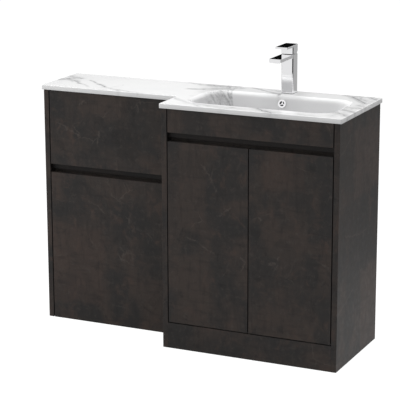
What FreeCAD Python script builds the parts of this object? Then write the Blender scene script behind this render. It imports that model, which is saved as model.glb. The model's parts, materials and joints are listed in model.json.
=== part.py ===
import FreeCAD, Part
import os
import re
import Sketcher

# Floor-standing vanity and WC combination unit. X runs along the wall, Y to the wall, Z up.
# The origin is on the floor, in the middle of the unit's plan. Lengths are in millimetres.
doc = FreeCAD.newDocument("CombinationUnit")
sizes_sheet = doc.addObject("Spreadsheet::Sheet", "Sizes")
places_sheet = doc.addObject("Spreadsheet::Sheet", "Places")

# Driving dimensions, angles in degrees
SIZES = {
    # Both cabinets
    "vanity_width": 600,
    "vanity_depth": 365,
    "wc_width": 500,
    "wc_depth": 236,
    "carcass_height": 793,
    "panel": 18,
    "reveal": 3,
    "top_gap": 2,
    "overrun": 5,
    # Vanity front
    "plinth_height": 85.5,
    "fascia_height": 75,
    "channel_height": 29,
    "slot_height": 10,
    "rail_thickness": 16,
    "strip_thickness": 10,
    "strip_drop": 30,
    "strip_lap": 20,
    # WC unit front
    "wc_upper_height": 251,
    "wc_rail_height": 60,
    "batten": 20,
    "batten_top_gap": 12,
    "clip_thickness": 8,
    "clip_width": 16,
    "clip_height": 24,
    "clip_inset": 40,
    "clip_gap": 0.4,
    "stud_radius": 4,
    "stud_length": 7,
    "stud_fit": 0.2,
    # Back rails and their wall-fixing holes
    "back_rail_height": 90,
    "rail_pipe_gap": 20,
    "wall_hole_radius": 3,
    "vanity_wall_spacing": 400,
    "wc_wall_spacing": 320,
    # Shelf
    "shelf_trap_gap": 123,
    "shelf_thickness": 16,
    "shelf_setback": 45,
    "shelf_back_gap": 70,
    "shelf_gap": 1,
    "pin_radius": 2.5,
    "pin_length": 18,
    "pin_depth": 9,
    "pin_inset": 30,
    # Dowels and screws
    "dowel_radius": 4,
    "dowel_length": 30,
    "dowel_in_side": 10,
    "dowel_inset": 22,
    "bore_fit": 0.05,
    "screw_radius": 2,
    "screw_head_radius": 4,
    "screw_head": 2,
    "screw_bite": 11,
    "screw_inset": 60,
    "bolt_radius": 3,
    "bolt_head_radius": 7,
    "bolt_head": 2.5,
    "bolt_inset": 60,
    # Concealed hinges
    "hinge_inset": 20,
    "hinge_set": 10,
    "hinge_end": 90,
    "cup_radius": 17.5,
    "cup_offset": 2.5,
    "cup_depth": 13,
    "cup_wall": 1.2,
    "hinge_pin_radius": 2,
    "hinge_pin_length": 33,
    "hinge_pin_fit": 0.05,
    "barrel_radius": 3.5,
    "arm_height": 12,
    "arm_thickness": 3,
    "arm_angle": 40,
    "arm_reach": 20,
    "arm_back": 30,
    "plate_thickness": 5,
    "plate_start": 22,
    "plate_length": 40,
    "plate_height": 44,
    "plate_screw_rise": 14,
    # Top with the basin
    "slab_thickness": 15,
    "slab_overhang": 6,
    "slab_edge_radius": 2.5,
    "slab_corner_radius": 4,
    "bowl_side_gap": 26,
    "bowl_front_gap": 2,
    "bowl_tap_gap": 12,
    "bowl_depth": 105,
    "bowl_draft": 12,
    "bowl_wall": 12,
    "bowl_corner": 58,
    "bowl_floor_radius": 38,
    "bowl_lip_radius": 14,
    "duct_half": 34,
    "duct_slot_half": 14,
    "duct_slot": 9,
    "duct_wall": 6,
    "overflow_drop": 26,
    "overflow_radius": 10.5,
    "ring_radius": 13.5,
    "ring_face": 2.5,
    "ring_bore": 8,
    "ring_tail": 12,
    "ring_fit": 0.3,
    # Waste
    "waste_hole_radius": 22.5,
    "flange_radius": 32,
    "flange_thickness": 3,
    "tail_radius": 20.9,
    "tail_bore": 17,
    "tail_below": 40,
    "thread_fit": 0.05,
    "seal_radius": 31,
    "seal_thickness": 3,
    "waste_nut_radius": 30,
    "waste_nut_height": 10,
    "spider_drop": 40,
    "spider_height": 6,
    "plug_radius": 24,
    "plug_thickness": 4,
    "plug_rise": 8.6,
    "plug_dome": 2,
    "plug_stem_radius": 3,
    "plug_stem_fit": 0.05,
    "plug_stem_below": 12,
    # Bottle trap
    "trap_nut_radius": 27,
    "trap_nut_height": 20,
    "trap_radius": 24,
    "trap_wall": 3.5,
    "trap_height": 62,
    "cup_lap": 16,
    "trap_cup_height": 95,
    "trap_cup_wall": 4,
    "stub_length": 44,
    "stub_radius": 19.5,
    "outlet_drop": 26,
    "outlet_radius": 16,
    "outlet_wall": 1.8,
    "outlet_lap": 18,
    "spigot_step": 0.5,
    # Tap
    "tap_setback": 35,
    "tap_hole_radius": 15,
    "gasket": 1,
    "gasket_inset": 0.6,
    "tap_width": 42,
    "tap_depth": 41,
    "tap_height": 127,
    "tap_corner": 5,
    "spout_width": 40,
    "spout_reach": 103,
    "spout_thickness": 12.5,
    "spout_root": 8,
    "spout_edge": 4.5,
    "aerator_radius": 9,
    "aerator_height": 7,
    "aerator_bore": 6,
    "aerator_set": 15,
    "aerator_proud": 1.5,
    "waterway_radius": 3,
    "cartridge_radius": 13,
    "cartridge_depth": 45,
    "cartridge_fit": 0.1,
    "stem_radius": 4.5,
    "stem_depth": 20,
    "stem_fit": 0.05,
    "inlet_radius": 4.5,
    "inlet_depth": 24,
    "inlet_spread": 7.5,
    "inlet_set": 4,
    "clamp_stud_radius": 4,
    "clamp_stud_set": 8,
    "clamp_stud_bite": 14,
    "clamp_stud_below": 45,
    "clamp_radius": 21,
    "clamp_thickness": 3,
    "clamp_mouth": 14,
    "clamp_nut_radius": 7,
    "clamp_nut_height": 9,
    # Tap lever
    "lever_gap": 1.2,
    "lever_block": 23,
    "lever_plate": 6,
    "lever_reach": 91,
    "lever_chamfer": 10.5,
    "lever_corner": 4,
    "pivot_rise": 11,
    "pivot_set": 7,
    "pivot_radius": 2,
    "pivot_fit": 0.05,
    "pivot_length": 24,
    "head_width": 10,
    "head_front": 13,
    "head_back": 3.5,
    "head_half_height": 3.5,
    "head_clear": 1.6,
    "head_side_clear": 0.4,
}

# Planes and axes worked out from the sizes
PLACES = {
    "unit_left": "0 - (wc_width + vanity_width) / 2",
    "split_x": "unit_left + wc_width",
    "unit_right": "split_x + vanity_width",
    "vanity_mid": "split_x + vanity_width / 2",
    "vanity_in_left": "split_x + panel",
    "vanity_in_right": "unit_right - panel",
    "wc_mid": "unit_left + wc_width / 2",
    "wc_in_left": "unit_left + panel",
    "wc_in_right": "split_x - panel",
    "back_y": "(vanity_depth + slab_overhang) / 2",
    "rail_back_y": "back_y - panel",
    "door_y": "back_y - vanity_depth",
    "door_back_y": "door_y + panel",
    "rail_y": "door_back_y + rail_thickness",
    "wc_front_y": "back_y - wc_depth",
    "wc_panel_back_y": "wc_front_y + panel",
    "wc_rail_y": "wc_panel_back_y + rail_thickness",
    "clip_y": "wc_panel_back_y + clip_gap",
    "front_top_z": "carcass_height - top_gap",
    "fascia_bottom_z": "front_top_z - fascia_height",
    "door_bottom_z": "plinth_height + reveal",
    "door_top_z": "fascia_bottom_z - channel_height",
    "rail_bottom_z": "door_top_z + slot_height",
    "strip_bottom_z": "door_top_z - strip_drop",
    "lower_rail_top": "plinth_height + back_rail_height",
    "wc_upper_bottom": "front_top_z - wc_upper_height",
    "wc_lower_top": "wc_upper_bottom - channel_height",
    "wc_strip_bottom": "wc_lower_top - strip_drop",
    "wc_rail_bottom": "wc_lower_top + slot_height",
    "wc_rail_top": "wc_rail_bottom + wc_rail_height",
    "batten_top": "carcass_height - batten_top_gap",
    "left_door_edge": "vanity_in_left + reveal",
    "right_door_edge": "vanity_in_right - reveal",
    "left_pivot_x": "left_door_edge + hinge_inset",
    "right_pivot_x": "right_door_edge - hinge_inset",
    "pivot_y": "door_y + hinge_set",
    "lower_hinge_z": "door_bottom_z + hinge_end",
    "upper_hinge_z": "door_top_z - hinge_end",
    "deck_z": "carcass_height + slab_thickness",
    "slab_left": "unit_left - slab_overhang",
    "slab_right": "unit_right + slab_overhang",
    "slab_step": "split_x - slab_overhang",
    "slab_front": "door_y - slab_overhang",
    "wc_slab_front": "wc_front_y - slab_overhang",
    "tap_y": "back_y - tap_setback",
    "duct_back": "tap_y - clamp_radius - bowl_tap_gap",
    "slot_back": "duct_back - duct_wall",
    "slot_front": "slot_back - duct_slot",
    "bowl_left": "vanity_in_left + bowl_side_gap + bowl_wall",
    "bowl_right": "vanity_in_right - bowl_side_gap - bowl_wall",
    "bowl_front": "rail_y + strip_thickness + bowl_front_gap + bowl_wall",
    "bowl_back": "slot_front - duct_wall",
    "bowl_floor": "deck_z - bowl_depth",
    "floor_half_width": "(bowl_back - bowl_front) / 2 - bowl_depth * tan(bowl_draft * 1deg)",
    "corner_radius": "min(bowl_corner; floor_half_width - bowl_wall)",
    "floor_radius": "min(bowl_floor_radius; corner_radius - bowl_wall)",
    "shell_left": "bowl_left - bowl_wall",
    "shell_right": "bowl_right + bowl_wall",
    "shell_front": "bowl_front - bowl_wall",
    "shell_back": "bowl_back + bowl_wall",
    "shell_bottom": "bowl_floor - bowl_wall",
    "waste_y": "(bowl_front + bowl_back) / 2",
    "duct_left": "vanity_mid - duct_half",
    "duct_right": "vanity_mid + duct_half",
    "duct_front": "waste_y - duct_half",
    "run_top": "shell_bottom - duct_wall / 2",
    "run_bottom": "run_top - duct_slot",
    "duct_bottom": "run_bottom - duct_wall",
    "overflow_z": "deck_z - overflow_drop",
    "overflow_y": "bowl_back - overflow_drop * tan(bowl_draft * 1deg)",
    "flange_top": "bowl_floor + flange_thickness",
    "nut_top": "duct_bottom - seal_thickness",
    "tail_bottom": "nut_top - waste_nut_height - tail_below",
    "spider_z": "bowl_floor - spider_drop",
    "plug_bottom": "flange_top + plug_rise",
    "trap_bottom": "tail_bottom - trap_height",
    "cup_top": "trap_bottom + cup_lap",
    "cup_bottom": "cup_top - trap_cup_height",
    "outlet_z": "tail_bottom - outlet_drop",
    "stub_end": "waste_y + stub_length",
    "shelf_bottom": "cup_bottom - shelf_trap_gap - shelf_thickness",
    "back_rail_bottom": "outlet_z + outlet_radius + rail_pipe_gap",
    "back_rail_top": "back_rail_bottom + back_rail_height",
    "tap_left": "vanity_mid - tap_width / 2",
    "tap_right": "vanity_mid + tap_width / 2",
    "tap_front": "tap_y - tap_depth / 2",
    "tap_rear": "tap_y + tap_depth / 2",
    "tap_base": "deck_z + gasket",
    "tap_top": "tap_base + tap_height",
    "spout_left": "vanity_mid - spout_width / 2",
    "spout_right": "vanity_mid + spout_width / 2",
    "spout_tip": "tap_front - spout_reach",
    "spout_start": "tap_front + spout_root",
    "spout_bottom": "tap_top - spout_thickness",
    "aerator_y": "spout_tip + aerator_set",
    "stud_y": "tap_y + clamp_stud_set",
    "inlet_y": "tap_y - inlet_set",
    "clamp_bottom": "carcass_height - clamp_thickness",
    "lever_bottom": "tap_top + lever_gap",
    "lever_under": "lever_bottom + lever_block",
    "lever_top": "lever_under + lever_plate",
    "lever_front": "tap_rear - lever_reach",
    "lever_notch_y": "tap_rear - lever_chamfer",
    "lever_notch_z": "lever_bottom + lever_chamfer",
    "lever_pivot_y": "tap_y + pivot_set",
    "lever_pivot_z": "lever_bottom + pivot_rise",
}


def qualify(match):
    """Names the sheet that a size or place is kept in."""
    word = match.group(0)
    if word in SIZES:
        return "Sizes." + word
    if word in PLACES:
        return "Places." + word
    return word


def ex(text):
    """Turns a sum of sizes and places into an expression of the document."""
    return re.sub(r"[a-z_][a-z_0-9]*", qualify, text)


def fill(sheet, rows):
    """Writes one named cell for each row."""
    for row, (alias, content) in enumerate(rows, start=1):
        cell = "B" + str(row)
        sheet.set("A" + str(row), alias)
        sheet.set(cell, content)
        sheet.setAlias(cell, alias)


fill(sizes_sheet, [(alias, str(number)) for alias, number in SIZES.items()])
fill(places_sheet, [(alias, "=" + ex(text)) for alias, text in PLACES.items()])
doc.recompute()


def value(alias):
    """Reads one size or place as a number."""
    sheet = sizes_sheet if alias in SIZES else places_sheet
    return float(sheet.get(alias))


NODES = []
SAME_PLANE_SHARE = 0.01
AXIS_TURNS = {
    "x": FreeCAD.Rotation(FreeCAD.Vector(0, 1, 0), 90),
    "y": FreeCAD.Rotation(FreeCAD.Vector(1, 0, 0), -90),
    "z": FreeCAD.Rotation(),
}


def node(label, piece):
    """Names a finished sub-part, which is written out under that name."""
    piece.Label = label
    NODES.append(piece)
    return piece


def bind(piece, bindings):
    for name, text in bindings.items():
        piece.setExpression(name, ex(text))


def place(piece, x, y, z):
    bind(piece, {"Placement.Base.x": x, "Placement.Base.y": y, "Placement.Base.z": z})


def board(name, x, y, z):
    """A rectangular piece between two planes along each axis."""
    piece = doc.addObject("Part::Box", name)
    for side, (low, high) in {"Length": x, "Width": y, "Height": z}.items():
        bind(piece, {side: "({}) - ({})".format(high, low)})
    place(piece, x[0], y[0], z[0])
    return piece


def rod(name, axis, radius, x, y, z):
    """A cylinder along one axis, whose two planes on that axis are given as a pair."""
    piece = doc.addObject("Part::Cylinder", name)
    spans = {"x": x, "y": y, "z": z}
    low, high = spans[axis]
    spans[axis] = low
    bind(piece, {"Radius": radius, "Height": "({}) - ({})".format(high, low)})
    piece.Placement = FreeCAD.Placement(FreeCAD.Vector(), AXIS_TURNS[axis])
    place(piece, spans["x"], spans["y"], spans["z"])
    return piece


def group(name, pieces):
    """Separate like pieces that share one node."""
    together = doc.addObject("Part::Compound", name)
    together.Links = pieces
    return together


def cut(name, base, tools):
    result = doc.addObject("Part::Cut", name)
    result.Base = base
    result.Tool = tools[0] if len(tools) == 1 else join(name + "_tools", tools)
    return result


def join(name, pieces):
    result = doc.addObject("Part::MultiFuse", name)
    result.Shapes = pieces
    return result


def ring(name, axis, outer, inner, x, y, z):
    """A tube: a cylinder with a bore right through it."""
    body = rod(name + "_outside", axis, outer, x, y, z)
    spans = {"x": x, "y": y, "z": z}
    low, high = spans[axis]
    spans[axis] = (low + " - overrun", high + " + overrun")
    bore = rod(name + "_bore", axis, inner, spans["x"], spans["y"], spans["z"])
    return cut(name, body, [bore])


def around(middle, half):
    """The two planes at equal distance from a middle plane."""
    return ("{} - {}".format(middle, half), "{} + {}".format(middle, half))


def beside(origin, sign, near, far):
    """The span from near to far, measured from a plane towards plus or minus."""
    if sign == "+":
        return ("{} + {}".format(origin, near), "{} + {}".format(origin, far))
    return ("{} - ({})".format(origin, far), "{} - ({})".format(origin, near))


def new_sketch(body, name, role, height):
    """A sketch parallel to one of its body's origin planes."""
    sketch = body.newObject("Sketcher::SketchObject", name)
    plane = [feature for feature in body.Origin.OriginFeatures if feature.Role == role][0]
    sketch.AttachmentSupport = [(plane, "")]
    sketch.MapMode = "FlatFace"
    bind(sketch, {"AttachmentOffset.Base.z": height})
    return sketch


def polygon(sketch, corners):
    """A closed outline whose corners are pairs of named places."""
    points = [FreeCAD.Vector(value(first), value(second), 0) for first, second in corners]
    for index, point in enumerate(points):
        following = points[(index + 1) % len(points)]
        sketch.addGeometry(Part.LineSegment(point, following))
    for index, corner in enumerate(corners):
        following = (index + 1) % len(corners)
        sketch.addConstraint(Sketcher.Constraint("Coincident", index, 2, following, 1))
        for kind, alias in zip(("DistanceX", "DistanceY"), corner):
            number = sketch.addConstraint(Sketcher.Constraint(kind, -1, 1, index, 1, value(alias)))
            sketch.setExpression("Constraints[{}]".format(number), ex(alias))


def rectangle(sketch, left, right, front, back):
    polygon(sketch, [(left, front), (right, front), (right, back), (left, back)])


def pad(body, name, sketch, length, downwards=False, taper=None):
    feature = body.newObject("PartDesign::Pad", name)
    feature.Profile = sketch
    feature.Reversed = downwards
    bind(feature, {"Length": length})
    if taper:
        bind(feature, {"TaperAngle": taper})
    doc.recompute()
    return feature


def rounded(body, name, base, radius, chosen):
    """Rounds the edges of a feature whose box passes the test."""
    edges = enumerate(base.Shape.Edges, start=1)
    names = ["Edge" + str(number) for number, edge in edges if chosen(edge.BoundBox)]
    feature = body.newObject("PartDesign::Fillet", name)
    feature.Base = (base, names)
    bind(feature, {"Radius": radius})
    doc.recompute()
    return feature


def near(first, second):
    """Whether two planes are the same one."""
    return abs(first - second) < value("reveal") * SAME_PLANE_SHARE


# Dowelled boards: each board runs along X between the inner faces of two sides
SIDE_BORES = {"vanity_left": [], "vanity_right": [], "wc_left": [], "wc_right": []}
DOWELS = {"vanity": [], "wc": []}


def dowelled(name, unit, y, z, spots, bores=()):
    """A board with dowels in both ends; spots are the dowels' places as (y, z) pairs."""
    faces = {"left": (unit + "_in_left", "+"), "right": (unit + "_in_right", "-")}
    holes = list(bores)
    for end, (face, sign) in faces.items():
        for number, (spot_y, spot_z) in enumerate(spots, start=1):
            title = "{}_{}_{}".format(name, end, number)
            span = beside(face, sign, "(0 - dowel_in_side)", "(dowel_length - dowel_in_side)")
            hole = rod(title + "_hole", "x", "dowel_radius + bore_fit", span, spot_y, spot_z)
            DOWELS[unit].append(rod(title + "_dowel", "x", "dowel_radius", span, spot_y, spot_z))
            holes.append(hole)
            SIDE_BORES[unit + "_" + end].append(hole)
    blank = board(name + "_blank", faces_span(unit), y, z)
    return node(name, cut(name, blank, holes))


def faces_span(unit):
    return (unit + "_in_left", unit + "_in_right")


def screw(name, axis, radius, head_radius, seat, sign, head, length, spots):
    """A screw whose head sits on a plane; the shank runs away from the head."""
    spans = dict(spots)
    spans[axis] = beside(seat, sign, "0", length)
    shank = rod(name + "_shank", axis, radius, spans["x"], spans["y"], spans["z"])
    spans[axis] = beside(seat, sign, "0 - " + head, "0")
    cap = rod(name + "_head", axis, head_radius, spans["x"], spans["y"], spans["z"])
    return join(name, [shank, cap])


# Vanity carcass between its sides
dowelled(
    "vanity_bottom_panel",
    "vanity",
    ("door_back_y", "back_y"),
    ("plinth_height - panel", "plinth_height"),
    [("door_back_y + dowel_inset", "plinth_height - panel / 2"),
     ("back_y - dowel_inset", "plinth_height - panel / 2")],
)
dowelled(
    "vanity_plinth",
    "vanity",
    ("door_y", "door_back_y"),
    ("0", "plinth_height"),
    [("door_y + panel / 2", "dowel_inset"), ("door_y + panel / 2", "plinth_height - dowel_inset")],
)
FASCIA_SCREW_PLACES = ["vanity_in_left + screw_inset", "vanity_mid", "vanity_in_right - screw_inset"]
fascia_screw_z = "(fascia_bottom_z + front_top_z) / 2"
fascia_screws = []
fascia_holes = []
for number, screw_x in enumerate(FASCIA_SCREW_PLACES, start=1):
    spot = {"x": screw_x, "z": fascia_screw_z}
    title = "fascia_screw_{}".format(number)
    bite = "(rail_thickness + screw_bite)"
    fascia_screws.append(
        screw(title, "y", "screw_radius", "screw_head_radius", "rail_y", "-", "screw_head", bite, spot)
    )
    span = beside("rail_y", "-", "0", bite)
    fascia_holes.append(
        rod(title + "_hole", "y", "screw_radius + bore_fit", screw_x, span, fascia_screw_z)
    )
dowelled(
    "vanity_front_rail",
    "vanity",
    ("door_back_y", "rail_y"),
    ("rail_bottom_z", "carcass_height"),
    [("door_back_y + rail_thickness / 2", "rail_bottom_z + dowel_inset"),
     ("door_back_y + rail_thickness / 2", "carcass_height - dowel_inset")],
    fascia_holes,
)
node("fascia_screws", group("fascia_screws", fascia_screws))
node(
    "vanity_finger_strip",
    board(
        "vanity_finger_strip", faces_span("vanity"), ("rail_y", "rail_y + strip_thickness"),
        ("strip_bottom_z", "rail_bottom_z + strip_lap"),
    ),
)
fascia_blank = board(
    "vanity_fascia_blank",
    ("vanity_in_left + reveal", "vanity_in_right - reveal"),
    ("door_y", "door_back_y"),
    ("fascia_bottom_z", "front_top_z"),
)
node("vanity_fascia", cut("vanity_fascia", fascia_blank, fascia_holes))


def back_rails(unit, middle, spacing, lower_bottom, lower_top):
    """An upper back rail with two wall-fixing holes, and a plain lower one."""
    span = ("rail_back_y - overrun", "back_y + overrun")
    height = "(back_rail_bottom + back_rail_top) / 2"
    wall_holes = [
        rod("{}_wall_hole_{}".format(unit, sign), "y", "wall_hole_radius",
            "{} {} {} / 2".format(middle, sign, spacing), span, height)
        for sign in ("+", "-")
    ]
    dowel_y = "rail_back_y + panel / 2"
    thickness = ("rail_back_y", "back_y")
    upper = [(dowel_y, "back_rail_bottom + dowel_inset"), (dowel_y, "back_rail_top - dowel_inset")]
    lower = [(dowel_y, lower_bottom + " + dowel_inset"), (dowel_y, lower_top + " - dowel_inset")]
    upper_span = ("back_rail_bottom", "back_rail_top")
    dowelled(unit + "_upper_back_rail", unit, thickness, upper_span, upper, wall_holes)
    dowelled(unit + "_lower_back_rail", unit, thickness, (lower_bottom, lower_top), lower)


back_rails("vanity", "vanity_mid", "vanity_wall_spacing", "plinth_height", "lower_rail_top")

# Shelf on four pins
node(
    "vanity_shelf",
    board(
        "vanity_shelf",
        ("vanity_in_left + shelf_gap", "vanity_in_right - shelf_gap"),
        ("door_y + shelf_setback", "back_y - shelf_back_gap"),
        ("shelf_bottom", "shelf_bottom + shelf_thickness"),
    ),
)
SHELF_PIN_ROWS = {
    "front": "door_y + shelf_setback + pin_inset",
    "back": "back_y - shelf_back_gap - pin_inset",
}
shelf_pins = []
for end, face, sign in (("left", "vanity_in_left", "+"), ("right", "vanity_in_right", "-")):
    span = beside(face, sign, "(0 - pin_depth)", "(pin_length - pin_depth)")
    for row, pin_y in SHELF_PIN_ROWS.items():
        title = "shelf_pin_{}_{}".format(end, row)
        pin_z = "shelf_bottom - pin_radius"
        shelf_pins.append(rod(title, "x", "pin_radius", span, pin_y, pin_z))
        hole = rod(title + "_hole", "x", "pin_radius + bore_fit", span, pin_y, pin_z)
        SIDE_BORES["vanity_" + end].append(hole)
node("shelf_pins", group("shelf_pins", shelf_pins))


# Doors on concealed hinges: the cup and its pin ride in the door, the arm stays on the side
def hinge(title, pivot, face, sign, height):
    """One hinge; sign points from the side panel into the cabinet."""
    cup_x = "{} {} cup_offset".format(pivot, sign)
    cup_floor = "door_back_y - cup_depth"
    pin_span = around(height, "hinge_pin_length / 2")
    cup_shell = rod(title + "_cup_shell", "y", "cup_radius", cup_x, (cup_floor, "door_back_y"), height)
    cup_room = rod(
        title + "_cup_room", "y", "cup_radius - cup_wall", cup_x,
        (cup_floor + " + cup_wall", "door_back_y + overrun"), height,
    )
    pin_seat = rod(title + "_pin_seat", "z", "hinge_pin_radius", pivot, "pivot_y", pin_span)
    door_hole = rod(
        title + "_door_hole", "y", "cup_radius + bore_fit", cup_x,
        (cup_floor, "door_back_y + overrun"), height,
    )
    pin = rod(title + "_pin", "z", "hinge_pin_radius", pivot, "pivot_y", pin_span)
    arm_span = around(height, "arm_height / 2")
    barrel = rod(title + "_barrel", "z", "barrel_radius", pivot, "pivot_y", arm_span)
    bore_span = around(height, "arm_height")
    bore = rod(title + "_bore", "z", "hinge_pin_radius + hinge_pin_fit", pivot, "pivot_y", bore_span)
    turn = "arm_angle" if sign == "+" else "180 - arm_angle"
    link = doc.addObject("Part::Box", title + "_link")
    bind(link, {"Length": "arm_reach", "Width": "arm_thickness", "Height": "arm_height"})
    bind(link, {"Placement.Rotation.Angle": turn})
    place(
        link,
        "{} + arm_thickness / 2 * sin(({}) * 1deg)".format(pivot, turn),
        "pivot_y - arm_thickness / 2 * cos(({}) * 1deg)".format(turn),
        arm_span[0],
    )
    reach_x = "arm_reach * cos(arm_angle * 1deg)"
    reach_y = "arm_reach * sin(arm_angle * 1deg)"
    half = "arm_thickness / 2"
    neck = board(
        title + "_neck",
        beside(pivot, sign, "{} - {}".format(reach_x, half), "{} + {}".format(reach_x, half)),
        ("pivot_y + {} - {}".format(reach_y, half), "pivot_y + arm_back + " + half),
        arm_span,
    )
    plate_face = "plate_thickness - hinge_inset - reveal"
    tail = board(
        title + "_tail",
        beside(pivot, sign, plate_face, "{} + {}".format(reach_x, half)),
        ("pivot_y + arm_back - " + half, "pivot_y + arm_back + " + half),
        arm_span,
    )
    arm = cut(title + "_arm", join(title + "_arm_blank", [barrel, link, neck, tail]), [bore])
    plate_blank = board(
        title + "_plate_blank",
        beside(face, sign, "0", "plate_thickness"),
        ("pivot_y + plate_start", "pivot_y + plate_start + plate_length"),
        around(height, "plate_height / 2"),
    )
    screws = []
    holes = []
    screw_y = "pivot_y + plate_start + plate_length / 2"
    for row in ("+", "-"):
        screw_z = "{} {} plate_screw_rise".format(height, row)
        seat = "{} {} plate_thickness".format(face, sign)
        inward = "-" if sign == "+" else "+"
        bite = "(plate_thickness + screw_bite)"
        name = title + "_screw_" + ("upper" if row == "+" else "lower")
        spot = {"y": screw_y, "z": screw_z}
        screws.append(
            screw(name, "x", "screw_radius", "screw_head_radius", seat, inward, "screw_head", bite, spot)
        )
        span = beside(seat, inward, "0", bite)
        holes.append(rod(name + "_hole", "x", "screw_radius + bore_fit", span, screw_y, screw_z))
    return {
        "cup": cut(title + "_cup", cup_shell, [cup_room, pin_seat]),
        "pin": pin,
        "arm": arm,
        "plate": cut(title + "_plate", plate_blank, holes),
        "screws": screws,
        "door_hole": door_hole,
        "side_holes": holes,
    }


for end, pivot, sign, span in (
    ("left", "left_pivot_x", "+", ("left_door_edge", "vanity_mid - reveal / 2")),
    ("right", "right_pivot_x", "-", ("vanity_mid + reveal / 2", "right_door_edge")),
):
    hinges = [
        hinge("hinge_{}_{}".format(end, row), pivot, "vanity_in_" + end, sign, row + "_hinge_z")
        for row in ("lower", "upper")
    ]
    leaf = board(
        "door_{}_leaf".format(end), span, ("door_y", "door_back_y"), ("door_bottom_z", "door_top_z")
    )
    node("door_" + end, cut("door_" + end, leaf, [item["door_hole"] for item in hinges]))
    for part in ("cup", "pin", "arm", "plate"):
        title = "hinge_{}s_{}".format(part, end)
        node(title, group(title, [item[part] for item in hinges]))
    title = "hinge_screws_" + end
    node(title, group(title, [piece for item in hinges for piece in item["screws"]]))
    for item in hinges:
        SIDE_BORES["vanity_" + end].extend(item["side_holes"])

# WC unit: fixed lower panel, lift-off upper panel, rail behind the finger channel
wc_rail_dowel_y = "wc_panel_back_y + rail_thickness / 2"
dowelled(
    "wc_front_rail",
    "wc",
    ("wc_panel_back_y", "wc_rail_y"),
    ("wc_rail_bottom", "wc_rail_top"),
    [(wc_rail_dowel_y, "wc_rail_bottom + dowel_inset"), (wc_rail_dowel_y, "wc_rail_top - dowel_inset")],
)
node(
    "wc_finger_strip",
    board(
        "wc_finger_strip", faces_span("wc"), ("wc_rail_y", "wc_rail_y + strip_thickness"),
        ("wc_strip_bottom", "wc_rail_bottom + strip_lap"),
    ),
)
back_rails("wc", "wc_mid", "wc_wall_spacing", "0", "back_rail_height")
wc_front_span = ("wc_in_left + reveal", "wc_in_right - reveal")
lower_battens = []
upper_battens = []
panel_screws = []
panel_holes = []
clips = []
studs = []
for end, face, sign in (("left", "wc_in_left", "+"), ("right", "wc_in_right", "-")):
    batten_span = beside(face, sign, "0", "batten")
    batten_mid = "{} {} batten / 2".format(face, sign)
    back = "wc_panel_back_y + batten"
    batten_depth = ("wc_panel_back_y", back)
    blank = board("wc_lower_batten_" + end, batten_span, batten_depth, ("0", "wc_strip_bottom"))
    holes = []
    for row, screw_z in (("lower", "screw_inset"), ("upper", "wc_lower_top - screw_inset")):
        title = "wc_panel_screw_{}_{}".format(end, row)
        bite = "(batten + screw_bite)"
        spot = {"x": batten_mid, "z": screw_z}
        panel_screws.append(
            screw(title, "y", "screw_radius", "screw_head_radius", back, "-", "screw_head", bite, spot)
        )
        span = beside(back, "-", "0", bite)
        holes.append(rod(title + "_hole", "y", "screw_radius + bore_fit", batten_mid, span, screw_z))
    lower_battens.append(cut("wc_lower_batten_{}_drilled".format(end), blank, holes))
    panel_holes.extend(holes)
    clip_back = "clip_y + clip_thickness"
    batten_depth = (clip_back, clip_back + " + batten")
    upper_battens.append(
        board("wc_upper_batten_" + end, batten_span, batten_depth, ("wc_rail_top", "batten_top"))
    )
    for row, clip_z in (("lower", "wc_rail_top + clip_inset"), ("upper", "batten_top - clip_inset")):
        title = "wc_clip_{}_{}".format(end, row)
        clip_blank = board(
            title + "_blank", around(batten_mid, "clip_width / 2"), ("clip_y", clip_back),
            around(clip_z, "clip_height / 2"),
        )
        socket = rod(
            title + "_socket", "y", "stud_radius + stud_fit", batten_mid,
            ("clip_y - overrun", clip_back + " + overrun"), clip_z,
        )
        clips.append(cut(title, clip_blank, [socket]))
        span = beside("wc_panel_back_y", "+", "0", "stud_length")
        studs.append(rod(title + "_stud", "y", "stud_radius", batten_mid, span, clip_z))
node("wc_lower_battens", group("wc_lower_battens", lower_battens))
node("wc_upper_battens", group("wc_upper_battens", upper_battens))
node("wc_panel_screws", group("wc_panel_screws", panel_screws))
node("wc_panel_clips", group("wc_panel_clips", clips))
node("wc_panel_studs", group("wc_panel_studs", studs))
wc_panel_depth = ("wc_front_y", "wc_panel_back_y")
lower_blank = board("wc_lower_panel_blank", wc_front_span, wc_panel_depth, ("0", "wc_lower_top"))
node("wc_lower_panel", cut("wc_lower_panel", lower_blank, panel_holes))
node(
    "wc_upper_panel",
    board("wc_upper_panel", wc_front_span, wc_panel_depth, ("wc_upper_bottom", "front_top_z")),
)

# Bolts that hold the two units side by side
UNIT_BOLT_ROWS = {"lower": "lower_rail_top + bolt_inset", "upper": "back_rail_bottom - bolt_inset"}
unit_bolts = []
for row, bolt_z in UNIT_BOLT_ROWS.items():
    bolt_y = "rail_back_y - bolt_inset"
    title = "unit_bolt_" + row
    pieces = [rod(title + "_shank", "x", "bolt_radius", around("split_x", "panel"), bolt_y, bolt_z)]
    for end, sign in (("left", "-"), ("right", "+")):
        span = beside("split_x", sign, "panel", "panel + bolt_head")
        pieces.append(rod(title + "_head_" + end, "x", "bolt_head_radius", span, bolt_y, bolt_z))
    unit_bolts.append(join(title, pieces))
    span = around("split_x", "(panel + overrun)")
    hole = rod(title + "_hole", "x", "bolt_radius + bore_fit", span, bolt_y, bolt_z)
    SIDE_BORES["wc_right"].append(hole)
    SIDE_BORES["vanity_left"].append(hole)
node("unit_joining_bolts", group("unit_joining_bolts", unit_bolts))

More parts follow.
